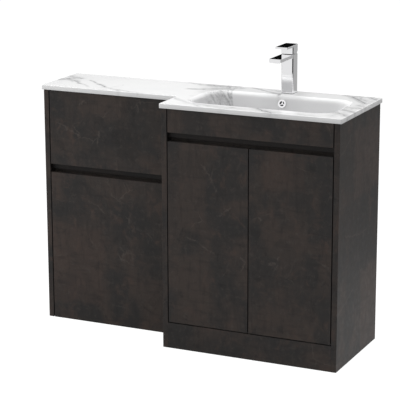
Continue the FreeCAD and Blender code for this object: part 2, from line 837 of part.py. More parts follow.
# The four sides, drilled for everything that is fixed to them
VANITY_SIDES = {"left": ("split_x", "vanity_in_left"), "right": ("vanity_in_right", "unit_right")}
WC_SIDES = {"left": ("unit_left", "wc_in_left"), "right": ("wc_in_right", "split_x")}
for unit, front, edges in (("vanity", "door_y", VANITY_SIDES), ("wc", "wc_front_y", WC_SIDES)):
    for end, span in edges.items():
        title = "{}_side_{}".format(unit, end)
        blank = board(title + "_blank", span, (front, "back_y"), ("0", "carcass_height"))
        node(title, cut(title, blank, SIDE_BORES[unit + "_" + end]))
    node(unit + "_dowels", group(unit + "_dowels", DOWELS[unit]))

# Cast top with the basin: slab, hanging shell, overflow duct, then the bowl sunk into them
top = doc.addObject("PartDesign::Body", "basin_casting")
slab_sketch = new_sketch(top, "slab_outline", "XY_Plane", "carcass_height")
polygon(
    slab_sketch,
    [("slab_left", "wc_slab_front"), ("slab_step", "wc_slab_front"), ("slab_step", "slab_front"),
     ("slab_right", "slab_front"), ("slab_right", "back_y"), ("slab_left", "back_y")],
)
slab = pad(top, "slab", slab_sketch, "slab_thickness")
slab = rounded(
    top, "slab_corners", slab, "slab_corner_radius",
    lambda box: box.ZLength > value("slab_thickness") / 2 and not near(box.YMax, value("back_y")),
)
slab = rounded(
    top, "slab_edges", slab, "slab_edge_radius",
    lambda box: near(box.ZMin, value("deck_z")) and not near(box.YMin, value("back_y")),
)
shell_sketch = new_sketch(top, "shell_outline", "XY_Plane", "carcass_height")
rectangle(shell_sketch, "shell_left", "shell_right", "shell_front", "shell_back")
shell = pad(top, "shell", shell_sketch, "carcass_height - shell_bottom", True, "0 - bowl_draft")
shell = rounded(
    top, "shell_corners", shell, "corner_radius + bowl_wall",
    lambda box: near(box.ZMin, value("shell_bottom")) and near(box.ZMax, value("carcass_height")),
)
shell = rounded(
    top, "shell_floor_edges", shell, "floor_radius + bowl_wall",
    lambda box: near(box.ZMax, value("shell_bottom")),
)
duct_sketch = new_sketch(top, "duct_outline", "XY_Plane", "carcass_height")
rectangle(duct_sketch, "duct_left", "duct_right", "duct_front", "duct_back")
pad(top, "duct", duct_sketch, "carcass_height - duct_bottom", True)
bowl_form = doc.addObject("PartDesign::Body", "bowl_form")
bowl_sketch = new_sketch(bowl_form, "bowl_outline", "XY_Plane", "deck_z")
rectangle(bowl_sketch, "bowl_left", "bowl_right", "bowl_front", "bowl_back")
bowl = pad(bowl_form, "bowl", bowl_sketch, "bowl_depth", True, "0 - bowl_draft")
bowl = rounded(
    bowl_form, "bowl_corners", bowl, "corner_radius", lambda box: box.ZLength > value("bowl_depth") / 2
)
rounded(
    bowl_form, "bowl_floor_edges", bowl, "floor_radius", lambda box: near(box.ZMax, value("bowl_floor"))
)
sunk = cut("sunk_casting", top, [bowl_form])
doc.recompute()
lip_edges = [
    number for number, edge in enumerate(sunk.Shape.Edges, start=1)
    if near(edge.BoundBox.ZMin, value("deck_z")) and edge.BoundBox.XMin > value("shell_left")
    and edge.BoundBox.YMin > value("shell_front") and edge.BoundBox.YMax < value("shell_back")
]
lipped = doc.addObject("Part::Fillet", "bowl_lip")
lipped.Base = sunk
lipped.Edges = [(number, value("bowl_lip_radius"), value("bowl_lip_radius")) for number in lip_edges]


def square_to_wall(piece):
    """Sets a piece made at the origin square to the sloping back wall, at the overflow."""
    tilt = FreeCAD.Rotation(FreeCAD.Vector(-1, 0, 0), value("bowl_draft"))
    piece.Placement = FreeCAD.Placement(FreeCAD.Vector(), tilt)
    bind(piece, {"Placement.Rotation.Angle": "bowl_draft"})
    place(piece, "vanity_mid", "overflow_y", "overflow_z")
    return piece


slot_span = around("vanity_mid", "duct_slot_half")
riser = board(
    "duct_riser", slot_span, ("slot_front", "slot_back"), ("run_bottom", "overflow_z + duct_slot_half")
)
run = board("duct_run", slot_span, ("waste_y", "slot_back"), ("run_bottom", "run_top"))
drill_span = ("0 - overrun", "slot_front - overflow_y + duct_slot / 2")
drill = rod("overflow_drill", "y", "overflow_radius", "0", drill_span, "0")
overflow_bore = square_to_wall(group("overflow_bore", [drill]))
tap_hole = rod(
    "tap_hole", "z", "tap_hole_radius", "vanity_mid", "tap_y",
    ("carcass_height - overrun", "deck_z + overrun"),
)
waste_hole = rod(
    "waste_hole", "z", "waste_hole_radius", "vanity_mid", "waste_y",
    ("duct_bottom - overrun", "bowl_floor + overrun"),
)
node("basin_top", cut("basin_top", lipped, [riser, run, overflow_bore, tap_hole, waste_hole]))

# Overflow ring in the back wall of the bowl
ring_head = rod("ring_head", "y", "ring_radius", "0", ("0 - ring_face", "0"), "0")
ring_tail = rod("ring_tail", "y", "overflow_radius - ring_fit", "0", ("0", "ring_tail"), "0")
ring_hole = rod("ring_hole", "y", "ring_bore", "0", ("0 - ring_face - overrun", "ring_tail + overrun"), "0")
overflow_ring = cut("overflow_ring", join("overflow_ring_blank", [ring_head, ring_tail]), [ring_hole])
node("overflow_ring", square_to_wall(overflow_ring))

# Waste, from the flange on the bowl's floor down to the trap
flange = rod("waste_flange", "z", "flange_radius", "vanity_mid", "waste_y", ("bowl_floor", "flange_top"))
tail = rod("waste_tail", "z", "tail_radius", "vanity_mid", "waste_y", ("tail_bottom", "flange_top"))
tail_room = rod(
    "waste_tail_room", "z", "tail_bore", "vanity_mid", "waste_y",
    ("tail_bottom - overrun", "flange_top + overrun"),
)
overflow_inlet = rod(
    "overflow_inlet", "y", "duct_slot / 2", "vanity_mid", ("waste_y", "waste_y + flange_radius"),
    "(run_bottom + run_top) / 2",
)
tube = cut("waste_tube", join("waste_tube_blank", [flange, tail]), [tail_room, overflow_inlet])
spider = board(
    "waste_spider", around("vanity_mid", "(tail_bore + tail_radius) / 2"),
    around("waste_y", "(spider_height / 2 + plug_stem_radius)"), ("spider_z", "spider_z + spider_height"),
)
spider_bore = rod(
    "spider_bore", "z", "plug_stem_radius + plug_stem_fit", "vanity_mid", "waste_y",
    ("spider_z - overrun", "spider_z + spider_height + overrun"),
)
node("waste_body", cut("waste_body", join("waste_body_blank", [tube, spider]), [spider_bore]))
plug_cap = rod(
    "plug_cap", "z", "plug_radius", "vanity_mid", "waste_y", ("plug_bottom", "plug_bottom + plug_thickness")
)
plug_dome = doc.addObject("Part::Cone", "plug_dome")
bind(plug_dome, {"Radius1": "plug_radius", "Radius2": "plug_radius - 2 * plug_dome", "Height": "plug_dome"})
place(plug_dome, "vanity_mid", "waste_y", "plug_bottom + plug_thickness")
plug_stem = rod(
    "plug_stem", "z", "plug_stem_radius", "vanity_mid", "waste_y",
    ("spider_z - plug_stem_below", "plug_bottom"),
)
node("waste_plug", join("waste_plug", [plug_cap, plug_dome, plug_stem]))
node(
    "waste_seal",
    ring("waste_seal", "z", "seal_radius", "tail_radius + thread_fit", "vanity_mid", "waste_y",
         ("nut_top", "duct_bottom")),
)
node(
    "waste_nut",
    ring("waste_nut", "z", "waste_nut_radius", "tail_radius + thread_fit", "vanity_mid", "waste_y",
         ("nut_top - waste_nut_height", "nut_top")),
)

# Bottle trap with its outlet pipe to the wall
node(
    "trap_inlet_nut",
    ring("trap_inlet_nut", "z", "trap_nut_radius", "tail_radius + thread_fit", "vanity_mid", "waste_y",
         ("tail_bottom", "tail_bottom + trap_nut_height")),
)
trap_barrel = rod(
    "trap_barrel", "z", "trap_radius", "vanity_mid", "waste_y", ("trap_bottom", "tail_bottom")
)
trap_stub = rod("trap_stub", "y", "stub_radius", "vanity_mid", ("waste_y", "stub_end"), "outlet_z")
trap_room = rod(
    "trap_room", "z", "trap_radius - trap_wall", "vanity_mid", "waste_y",
    ("trap_bottom - overrun", "tail_bottom + overrun"),
)
stub_room = rod(
    "stub_room", "y", "outlet_radius - outlet_wall", "vanity_mid", ("waste_y", "stub_end + overrun"),
    "outlet_z",
)
stub_socket = rod(
    "stub_socket", "y", "outlet_radius - spigot_step + bore_fit", "vanity_mid",
    ("stub_end - outlet_lap", "stub_end + overrun"), "outlet_z",
)
trap_blank = join("trap_blank", [trap_barrel, trap_stub])
node("trap_body", cut("trap_body", trap_blank, [trap_room, stub_room, stub_socket]))
cup_body = rod(
    "trap_cup_body", "z", "trap_radius + trap_cup_wall", "vanity_mid", "waste_y", ("cup_bottom", "cup_top")
)
cup_room = rod(
    "trap_cup_room", "z", "trap_radius + bore_fit", "vanity_mid", "waste_y",
    ("cup_bottom + trap_cup_wall", "cup_top + overrun"),
)
node("trap_cup", cut("trap_cup", cup_body, [cup_room]))
outlet_tube = rod("outlet_tube", "y", "outlet_radius", "vanity_mid", ("stub_end", "back_y"), "outlet_z")
outlet_spigot = rod(
    "outlet_spigot", "y", "outlet_radius - spigot_step", "vanity_mid", ("stub_end - outlet_lap", "stub_end"),
    "outlet_z",
)
outlet_bore = rod(
    "outlet_bore", "y", "outlet_radius - outlet_wall", "vanity_mid",
    ("stub_end - outlet_lap - overrun", "back_y + overrun"), "outlet_z",
)
outlet_blank = join("outlet_blank", [outlet_tube, outlet_spigot])
node("trap_outlet_pipe", cut("trap_outlet_pipe", outlet_blank, [outlet_bore]))

# Mixer tap: a square pillar with a flat spout
pillar = doc.addObject("PartDesign::Body", "tap_casting")
pillar_sketch = new_sketch(pillar, "pillar_outline", "XY_Plane", "tap_base")
rectangle(pillar_sketch, "tap_left", "tap_right", "tap_front", "tap_rear")
column = pad(pillar, "column", pillar_sketch, "tap_height")
column = rounded(
    pillar, "column_corners", column, "tap_corner", lambda box: box.ZLength > value("tap_height") / 2
)
spout_sketch = new_sketch(pillar, "spout_outline", "XY_Plane", "spout_bottom")
rectangle(spout_sketch, "spout_left", "spout_right", "spout_tip", "spout_start")
spout = pad(pillar, "spout", spout_sketch, "spout_thickness")
spout = rounded(
    pillar, "spout_edges", spout, "spout_edge",
    lambda box: near(box.ZMax, value("spout_bottom")) and box.XLength < value("reveal")
    and box.YLength > value("spout_reach") / 2,
)
cartridge_room = rod(
    "cartridge_room", "z", "cartridge_radius + cartridge_fit", "vanity_mid", "tap_y",
    ("tap_top - cartridge_depth", "tap_top + overrun"),
)
waterway = rod(
    "waterway", "y", "waterway_radius", "vanity_mid", ("aerator_y", "tap_y"),
    "spout_bottom + aerator_height",
)
aerator_room = rod(
    "aerator_room", "z", "aerator_radius + bore_fit", "vanity_mid", "aerator_y",
    ("spout_bottom - overrun", "spout_bottom + aerator_height - aerator_proud"),
)
stud_seat = rod(
    "clamp_stud_seat", "z", "clamp_stud_radius + thread_fit", "vanity_mid", "stud_y",
    ("tap_base - overrun", "tap_base + clamp_stud_bite"),
)
inlets = [
    rod("inlet_" + end, "z", "inlet_radius", "vanity_mid {} inlet_spread".format(sign), "inlet_y",
        ("tap_base - overrun", "tap_base + inlet_depth"))
    for end, sign in (("left", "-"), ("right", "+"))
]
node("tap_body", cut("tap_body", pillar, [cartridge_room, waterway, aerator_room, stud_seat] + inlets))
gasket_blank = board(
    "tap_gasket_blank", ("tap_left + gasket_inset", "tap_right - gasket_inset"),
    ("tap_front + gasket_inset", "tap_rear - gasket_inset"), ("deck_z", "tap_base"),
)
gasket_hole = rod(
    "tap_gasket_hole", "z", "tap_hole_radius", "vanity_mid", "tap_y",
    ("deck_z - overrun", "tap_base + overrun"),
)
node("tap_base_seal", cut("tap_base_seal", gasket_blank, [gasket_hole]))
node(
    "tap_aerator",
    ring("tap_aerator", "z", "aerator_radius", "aerator_bore", "vanity_mid", "aerator_y",
         ("spout_bottom - aerator_proud", "spout_bottom + aerator_height - aerator_proud")),
)
cartridge = rod(
    "cartridge_blank", "z", "cartridge_radius", "vanity_mid", "tap_y",
    ("tap_top - cartridge_depth", "tap_top"),
)
stem_room = rod(
    "stem_room", "z", "stem_radius + stem_fit", "vanity_mid", "tap_y",
    ("tap_top - stem_depth", "tap_top + overrun"),
)
node("tap_cartridge", cut("tap_cartridge", cartridge, [stem_room]))
node(
    "tap_clamp_stud",
    rod("tap_clamp_stud", "z", "clamp_stud_radius", "vanity_mid", "stud_y",
        ("carcass_height - clamp_stud_below", "tap_base + clamp_stud_bite")),
)
clamp_disc = rod(
    "clamp_disc", "z", "clamp_radius", "vanity_mid", "tap_y", ("clamp_bottom", "carcass_height")
)
clamp_hole = rod(
    "clamp_hole", "z", "clamp_stud_radius + thread_fit", "vanity_mid", "stud_y",
    ("clamp_bottom - overrun", "carcass_height + overrun"),
)
clamp_mouth = board(
    "clamp_mouth", around("vanity_mid", "clamp_mouth"),
    ("tap_y - clamp_radius - overrun", "tap_y + inlet_set / 2"),
    ("clamp_bottom - overrun", "carcass_height + overrun"),
)
node("tap_clamp_washer", cut("tap_clamp_washer", clamp_disc, [clamp_hole, clamp_mouth]))
clamp_nut = doc.addObject("Part::Prism", "clamp_nut_blank")
clamp_nut.Polygon = 6
bind(clamp_nut, {"Circumradius": "clamp_nut_radius", "Height": "clamp_nut_height"})
place(clamp_nut, "vanity_mid", "stud_y", "clamp_bottom - clamp_nut_height")
clamp_nut_bore = rod(
    "clamp_nut_bore", "z", "clamp_stud_radius + thread_fit", "vanity_mid", "stud_y",
    ("clamp_bottom - clamp_nut_height - overrun", "clamp_bottom + overrun"),
)
node("tap_clamp_nut", cut("tap_clamp_nut", clamp_nut, [clamp_nut_bore]))

# Lever on a cross pin through the spindle's head
spindle_stem = rod(
    "spindle_stem", "z", "stem_radius", "vanity_mid", "tap_y", ("tap_top - stem_depth", "lever_pivot_z")
)
spindle_head = board(
    "spindle_head", around("vanity_mid", "head_width / 2"),
    ("lever_pivot_y - head_front", "lever_pivot_y + head_back"),
    around("lever_pivot_z", "head_half_height"),
)
pin_span = around("vanity_mid", "pivot_length / 2")
pin_seat = rod("lever_pin_seat", "x", "pivot_radius", pin_span, "lever_pivot_y", "lever_pivot_z")
spindle_blank = join("tap_spindle_blank", [spindle_stem, spindle_head])
node("tap_spindle", cut("tap_spindle", spindle_blank, [pin_seat]))
node(
    "tap_lever_pin",
    rod("tap_lever_pin", "x", "pivot_radius", pin_span, "lever_pivot_y", "lever_pivot_z"),
)
handle = doc.addObject("PartDesign::Body", "lever_casting")
handle_sketch = new_sketch(handle, "lever_profile", "YZ_Plane", "tap_left")
polygon(
    handle_sketch,
    [("lever_front", "lever_under"), ("tap_front", "lever_under"), ("tap_front", "lever_bottom"),
     ("lever_notch_y", "lever_bottom"), ("tap_rear", "lever_notch_z"), ("tap_rear", "lever_top"),
     ("lever_front", "lever_top")],
)
lever = pad(handle, "lever", handle_sketch, "tap_width")
rounded(
    handle, "lever_corners", lever, "lever_corner",
    lambda box: box.ZLength > value("lever_block") / 2 and box.XLength < value("reveal")
    and box.YLength < value("reveal"),
)
lever_room = board(
    "lever_room", around("vanity_mid", "(head_width / 2 + head_side_clear)"),
    ("lever_pivot_y - head_front - head_clear", "lever_pivot_y + head_back + head_clear"),
    ("lever_bottom - overrun", "lever_pivot_z + head_half_height + head_clear"),
)
lever_bore = rod(
    "lever_bore", "x", "pivot_radius + pivot_fit", around("vanity_mid", "(pivot_length / 2 + pivot_fit)"),
    "lever_pivot_y", "lever_pivot_z",
)
node("tap_lever", cut("tap_lever", handle, [lever_room, lever_bore]))

# Every object has to have come out whole before anything is written
doc.recompute()
for item in doc.Objects:
    if "Invalid" in item.State or "Error" in item.State:
        raise RuntimeError("{} did not build: {}".format(item.Name, item.State))
for piece in NODES:
    if piece.Shape.isNull() or not piece.Shape.isValid() or not piece.Shape.Solids:
        raise RuntimeError("{} has no sound shape".format(piece.Label))
os.makedirs("parts", exist_ok=True)
for piece in NODES:
    piece.Shape.exportStep("parts/{}.step".format(piece.Label))
    print(piece.Label, len(piece.Shape.Solids), round(piece.Shape.Volume))
print(len(NODES), "sub-parts")
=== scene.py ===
import json
import math

import bmesh
import bpy
from mathutils import Matrix, Vector


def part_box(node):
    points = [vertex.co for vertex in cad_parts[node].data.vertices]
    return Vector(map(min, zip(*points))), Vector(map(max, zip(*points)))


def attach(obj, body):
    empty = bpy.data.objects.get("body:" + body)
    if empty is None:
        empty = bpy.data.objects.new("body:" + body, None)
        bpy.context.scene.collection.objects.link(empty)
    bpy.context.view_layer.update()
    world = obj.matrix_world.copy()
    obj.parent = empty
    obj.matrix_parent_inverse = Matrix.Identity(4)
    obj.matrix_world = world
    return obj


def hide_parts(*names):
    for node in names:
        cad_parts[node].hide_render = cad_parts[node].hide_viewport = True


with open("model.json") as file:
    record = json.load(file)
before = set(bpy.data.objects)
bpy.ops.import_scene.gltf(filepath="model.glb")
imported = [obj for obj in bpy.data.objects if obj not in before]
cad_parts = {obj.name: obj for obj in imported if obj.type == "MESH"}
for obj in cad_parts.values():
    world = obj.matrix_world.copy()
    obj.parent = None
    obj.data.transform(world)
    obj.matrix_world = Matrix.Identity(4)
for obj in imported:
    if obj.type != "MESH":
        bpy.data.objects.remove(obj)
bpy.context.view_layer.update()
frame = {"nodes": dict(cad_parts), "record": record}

# Camera, fitted to the edges of the cabinets and the top
CAMERA_PLACE = (2.3069, -4.9277, 1.8409)
CAMERA_YAW = math.radians(25.086)
CAMERA_PITCH = math.radians(14.267)
CAMERA_ROLL = math.radians(-0.168)
SENSOR_WIDTH = 36.0
CAMERA_LENS = 154.306

# Studio
FLOOR_SIZE = 40.0
AMBIENT = 0.44
FLOOR_GLOW = 0.95
FLOOR_SHADOW = 0.20
FLOOR_BOUNCE = 0.80

# The floor in polished surfaces: its glow from front to back, between two depths, and round one spot
MIRRORED_FRONT = 0.90
MIRRORED_BACK = 0.45
MIRRORED_DEPTHS = (-2.0, 1.0)
MIRRORED_SPOT = (0.80, 0.20, 0.0)
SPOT_CORE = 0.3
SPOT_REACH = 1.8

# Dark cards, bent round the upright axis: radius, direction of the middle, half angle and heights
CARD_STEPS = 12
CARD_SHADE = 0.01
BEHIND = math.pi / 2 + CAMERA_YAW
DARK_CARDS = {
    "back_card": {"radius": 40.0, "middle": BEHIND, "half": math.radians(55), "low": 4.4, "high": 8.05},
    "ledge_card": {
        "radius": 40.0, "middle": math.radians(108), "half": math.radians(7), "low": 8.05, "high": 9.1,
    },
    "side_card": {
        "radius": 3.2, "middle": math.radians(-25), "half": math.radians(46), "low": 0.0, "high": 0.85,
    },
}

# Square lamps, which no mirror shows: sizes in metres, power in watts
SOFTBOXES = {
    "top_box": {"place": (0.1, 0.3, 3.3), "aim": (0.1, 0.0, 0.8), "size": 2.0, "power": 56.0},
    "left_box": {"place": (-2.8, -1.1, 1.7), "aim": (0.1, 0.0, 0.8), "size": 1.6, "power": 38.0},
    "low_box": {"place": (1.25, 0.1, 0.55), "aim": (1.25, 0.1, 0.0), "size": 0.6, "power": 1.0},
}

# Sockets of a colour mix node, whose names repeat for other kinds of data
MIX_SHARE = 0
MIX_FIRST = 6
MIX_SECOND = 7
MIX_RESULT = 2


def add_object(name, data):
    """A new object of the scene."""
    made = bpy.data.objects.new(name, data)
    bpy.context.scene.collection.objects.link(made)
    return made


class Tree:
    """Short calls for building a shader tree; each returns an output socket."""

    def __init__(self, tree):
        self.tree = tree
        self.shader = tree.nodes.get("Principled BSDF")
        self.place = None

    def node(self, kind, settings=None, inputs=None):
        made = self.tree.nodes.new(kind)
        for name, setting in (settings or {}).items():
            setattr(made, name, setting)
        for name, source in (inputs or {}).items():
            self.feed(made.inputs[name], source)
        return made

    def feed(self, socket, source):
        if isinstance(source, bpy.types.NodeSocket):
            self.tree.links.new(source, socket)
        else:
            socket.default_value = source

    def object_place(self, offset=(0, 0, 0), stretch=(1, 1, 1)):
        """The point in the unit's own frame, in metres, moved and stretched."""
        if self.place is None:
            self.place = self.node("ShaderNodeTexCoord").outputs["Object"]
        moved = {"Vector": self.place, "Location": offset, "Scale": stretch}
        return self.node("ShaderNodeMapping", {}, moved).outputs["Vector"]

    def noise(self, place, scale, detail=3.0, roughness=0.5, distortion=0.0):
        inputs = {"Vector": place, "Scale": scale, "Detail": detail}
        inputs.update({"Roughness": roughness, "Distortion": distortion})
        return self.node("ShaderNodeTexNoise", {}, inputs).outputs["Fac"]

    def spread(self, value, low, high, start=0.0, end=1.0, smooth=True):
        """Maps low..high to start..end, held at both ends."""
        settings = {"interpolation_type": "SMOOTHSTEP" if smooth else "LINEAR"}
        inputs = {"Value": value, "From Min": low, "From Max": high, "To Min": start, "To Max": end}
        return self.node("ShaderNodeMapRange", settings, inputs).outputs["Result"]

    def combine(self, operation, first, second=0.0, third=0.0):
        """One step of arithmetic on up to three values."""
        made = self.node("ShaderNodeMath", {"operation": operation})
        for socket, source in zip(made.inputs, (first, second, third)):
            self.feed(socket, source)
        return made.outputs["Value"]

    def times(self, first, second):
        return self.combine("MULTIPLY", first, second)

    def fade(self, value, low, high):
        """1 up to low, 0 from high on."""
        return self.spread(value, low, high, start=1.0, end=0.0)

    def blend(self, share, first, second):
        """The first colour where the share is 0, the second where it is 1."""
        made = self.node("ShaderNodeMix", {"data_type": "RGBA"})
        for index, source in ((MIX_SHARE, share), (MIX_FIRST, first), (MIX_SECOND, second)):
            self.feed(made.inputs[index], source)
        return made.outputs[MIX_RESULT]

    def bump(self, height, strength, distance):
        inputs = {"Height": height, "Strength": strength, "Distance": distance}
        return self.node("ShaderNodeBump", {}, inputs).outputs["Normal"]

    def surface(self, **inputs):
        """Sets the Principled shader's inputs, named with underscores for spaces."""
        for name, source in inputs.items():
            self.feed(self.shader.inputs[name.replace("_", " ")], source)


def new_material(name):
    """A new material, and the Tree that builds its shader."""
    material = bpy.data.materials.new(name)
    material.use_nodes = True
    return material, Tree(material.node_tree)


def rgb(red, green, blue):
    return (red, green, blue, 1.0)


def grey(shade):
    return rgb(shade, shade, shade)


WHITE = grey(1.0)

# Directions in the unit's frame
LEFT = (-1, 0, 0)
RIGHT = (1, 0, 0)
FORWARD = (0, -1, 0)
BACKWARD = (0, 1, 0)
DOWN = (0, 0, -1)
UP = (0, 0, 1)

# The laminate's tones
SLATE = rgb(0.0308, 0.0290, 0.0284)
BROWN = rgb(0.0525, 0.0415, 0.0365)
RUST = rgb(0.0650, 0.0465, 0.0395)
PALE = rgb(0.0690, 0.0595, 0.0545)
SOOT = rgb(0.0205, 0.0190, 0.0187)
CRACK_TONE = rgb(0.092, 0.077, 0.069)
CRACK_WIDTH = 0.0052
HAIRLINE_WIDTH = 0.012
CRACK_RELIEF = 0.6
# Painted shade: the near black that edges in gaps and faces deep in recesses are blended towards, and how far
PAINTED_GAP_SHADE = rgb(0.0120, 0.0115, 0.0115)
PAINTED_GAP_SHADE_SHARE = 0.70
PATCH_SOFTNESS = 0.010
SEED_STEPS = (1.37, 0.71, 2.13)
CLOUD_STRETCH = (1, 1, 0.8)
BRUSHINGS = ((1, 1, 0.2), (0.2, 0.2, 1))

# Faces with painted shade, by the direction they face: edges in gaps, inner sides, rail fronts in finger
# channels
SHADE_PAINTED_FACES = {
    "door_left": [LEFT, RIGHT, DOWN],
    "door_right": [LEFT, RIGHT, DOWN],
    "wc_lower_panel": [LEFT, RIGHT],
    "wc_upper_panel": [LEFT, RIGHT],
    "vanity_fascia": [LEFT, RIGHT],
    "vanity_side_left": [RIGHT],
    "vanity_side_right": [LEFT],
    "wc_side_left": [RIGHT],
    "wc_side_right": [LEFT],
    "vanity_front_rail": [FORWARD],
    "wc_front_rail": [FORWARD],
}


def on_front(runs):
    """Runs given as (x, z) on a front, as points in the unit's frame."""
    return [[(x, 0.0, z) for x, z in run] for run in runs]


def on_side(runs):
    """Runs given as (y, z) on a side, as points in the unit's frame."""
    return [[(0.0, y, z) for y, z in run] for run in runs]


# Pale cracks in the laminate: the direction across the face and the runs on it, in metres
CRACKS = {
    "door_left": (BACKWARD, on_front([
        [(0.030, 0.380), (0.079, 0.370), (0.113, 0.341), (0.135, 0.335)],
        [(0.087, 0.625), (0.106, 0.602), (0.117, 0.587), (0.143, 0.535)],
        [(0.143, 0.459), (0.173, 0.477), (0.192, 0.498)],
        [(0.222, 0.338), (0.240, 0.320), (0.226, 0.290)],
    ])),
    "door_right": (BACKWARD, on_front([
        [(0.255, 0.453), (0.281, 0.473), (0.296, 0.465)],
        [(0.315, 0.326), (0.345, 0.330), (0.358, 0.356)],
        [(0.350, 0.335), (0.333, 0.289)],
        [(0.478, 0.359), (0.524, 0.332)],
    ])),
    "wc_upper_panel": (BACKWARD, on_front([
        [(-0.507, 0.686), (-0.476, 0.675), (-0.460, 0.662), (-0.416, 0.646)],
        [(-0.420, 0.749), (-0.393, 0.761)],
        [(-0.341, 0.675), (-0.351, 0.620)],
    ])),
    "wc_lower_panel": (BACKWARD, on_front([
        [(-0.390, 0.425), (-0.355, 0.412), (-0.325, 0.385)],
        [(-0.285, 0.255), (-0.255, 0.232), (-0.215, 0.222)],
        [(-0.232, 0.400), (-0.240, 0.360)],
    ])),
    "vanity_side_right": (RIGHT, on_side([
        [(-0.178, 0.690), (-0.130, 0.705), (-0.082, 0.730)],
        [(-0.022, 0.601), (-0.030, 0.565), (-0.036, 0.527)],
        [(-0.006, 0.590), (-0.014, 0.545)],
        [(-0.121, 0.425), (-0.060, 0.412), (0.020, 0.400), (0.084, 0.405)],
        [(-0.180, 0.185), (-0.110, 0.205), (-0.037, 0.235)],
    ])),
}

# Patches of one tone with fairly straight edges: low corner, high corner, tone and share, in metres
PATCHES = {
    # Painted light: each finger strip, deep in its channel, is paled all over
    "vanity_finger_strip": [((-1, 0, 0), (1, 0, 1), PALE, 0.8)],
    "wc_finger_strip": [((-1, 0, 0), (1, 0, 1), PALE, 0.8)],
    "vanity_fascia": [((0.027, 0, 0.70), (0.102, 0, 0.80), SLATE, 0.75)],
    "wc_upper_panel": [
        ((-0.236, 0, 0.690), (-0.178, 0, 0.80), SLATE, 0.6),
        ((-0.387, 0, 0.562), (-0.333, 0, 0.676), SLATE, 0.5),
        ((-0.284, 0, 0.584), (-0.193, 0, 0.676), SOOT, 0.4),
    ],
    "wc_lower_panel": [
        ((-0.302, 0, 0.080), (-0.237, 0, 0.190), SLATE, 0.7),
        ((-0.232, 0, 0.347), (-0.113, 0, 0.462), SLATE, 0.5),
        ((-0.560, 0, 0.060), (-0.330, 0, 0.340), RUST, 0.5),
    ],
    "door_left": [
        ((0.136, 0, 0.524), (0.260, 0, 0.700), SLATE, 0.8),
        ((0.127, 0, 0.274), (0.192, 0, 0.431), SLATE, 0.75),
        ((0.000, 0, 0.090), (0.120, 0, 0.330), BROWN, 0.75),
        ((0.010, 0, 0.400), (0.110, 0, 0.660), BROWN, 0.7),
    ],
    "door_right": [
        ((0.452, 0, 0.412), (0.540, 0, 0.523), SLATE, 0.8),
        ((0.446, 0, 0.255), (0.493, 0, 0.370), SLATE, 0.85),
        ((0.481, 0, 0.080), (0.540, 0, 0.230), SLATE, 0.85),
        ((0.252, 0, 0.270), (0.351, 0, 0.339), SLATE, 0.75),
        ((0.300, 0, 0.560), (0.440, 0, 0.680), RUST, 0.4),
    ],
    "vanity_side_right": [
        ((0, -0.20, 0.30), (0, 0.20, 0.52), SLATE, 0.6),
        ((0, -0.05, 0.526), (0, 0.20, 0.740), RUST, 0.5),
        ((0, -0.20, 0.640), (0, -0.05, 0.80), SOOT, 0.4),
        ((0, 0.033, 0.0), (0, 0.20, 0.281), RUST, 0.55),
    ],
}

# Marble veins as (start, end, half width, strength), in metres in the unit's frame
DECK_VEINS = [
    ((-0.558, 0.046), (-0.505, 0.115), 0.0140, 1.0),
    ((-0.556, 0.134), (-0.480, 0.096), 0.0150, 0.9),
    ((-0.540, 0.084), (-0.475, 0.046), 0.0130, 1.0),
    ((-0.486, 0.053), (-0.436, 0.008), 0.0070, 0.8),
    ((-0.441, 0.011), (-0.392, -0.024), 0.0050, 0.5),
    ((-0.455, 0.087), (-0.388, 0.034), 0.0060, 0.8),
    ((-0.394, 0.039), (-0.326, -0.016), 0.0070, 1.0),
    ((-0.332, -0.011), (-0.258, -0.062), 0.0060, 0.8),
    ((-0.330, -0.022), (-0.110, -0.080), 0.0080, 0.7),
    ((-0.130, 0.186), (-0.055, 0.160), 0.0120, 0.55),
    ((-0.060, 0.165), (0.048, 0.166), 0.0150, 0.85),
    ((-0.090, 0.075), (-0.015, 0.085), 0.0110, 0.9),
    ((-0.040, 0.085), (0.030, 0.135), 0.0150, 0.7),
    ((0.050, 0.185), (0.090, 0.150), 0.0120, 0.4),
    ((0.104, 0.188), (0.182, 0.139), 0.0060, 0.8),
    ((0.176, 0.143), (0.234, 0.110), 0.0070, 0.8),
    ((0.228, 0.120), (0.240, 0.080), 0.0060, 1.0),
    ((0.155, 0.175), (0.224, 0.160), 0.0060, 0.6),
    ((0.235, -0.120), (0.300, -0.165), 0.0120, 1.0),
    ((0.285, -0.150), (0.352, -0.200), 0.0150, 1.0),
    ((0.430, 0.188), (0.466, 0.164), 0.0090, 0.9),
    ((0.458, 0.172), (0.512, 0.108), 0.0110, 1.0),
    ((0.504, 0.117), (0.546, 0.068), 0.0110, 0.9),
    ((0.462, 0.188), (0.500, 0.162), 0.0080, 0.7),
    ((0.502, 0.190), (0.560, 0.140), 0.0110, 0.9),
    ((0.490, 0.155), (0.530, 0.112), 0.0080, 0.7),
    ((0.500, -0.016), (0.560, -0.004), 0.0120, 0.8),
    ((0.495, -0.036), (0.560, -0.082), 0.0120, 0.9),
    ((0.495, -0.088), (0.540, -0.112), 0.0120, 0.8),
    ((0.532, -0.106), (0.560, -0.140), 0.0120, 0.8),
    ((-0.062, -0.075), (0.085, -0.180), 0.0090, 0.6),
    ((0.150, -0.190), (0.195, -0.145), 0.0090, 0.6),
    ((0.020, -0.135), (0.150, -0.165), 0.0110, 0.5),
    ((0.520, 0.050), (0.560, 0.020), 0.0110, 0.7),
    ((0.000, -0.150), (0.240, -0.165), 0.0140, 0.35),
    ((0.240, -0.155), (0.480, -0.180), 0.0140, 0.30),
    ((0.510, -0.165), (0.535, -0.020), 0.0140, 0.40),
    ((0.530, -0.010), (0.545, 0.130), 0.0140, 0.30),
]
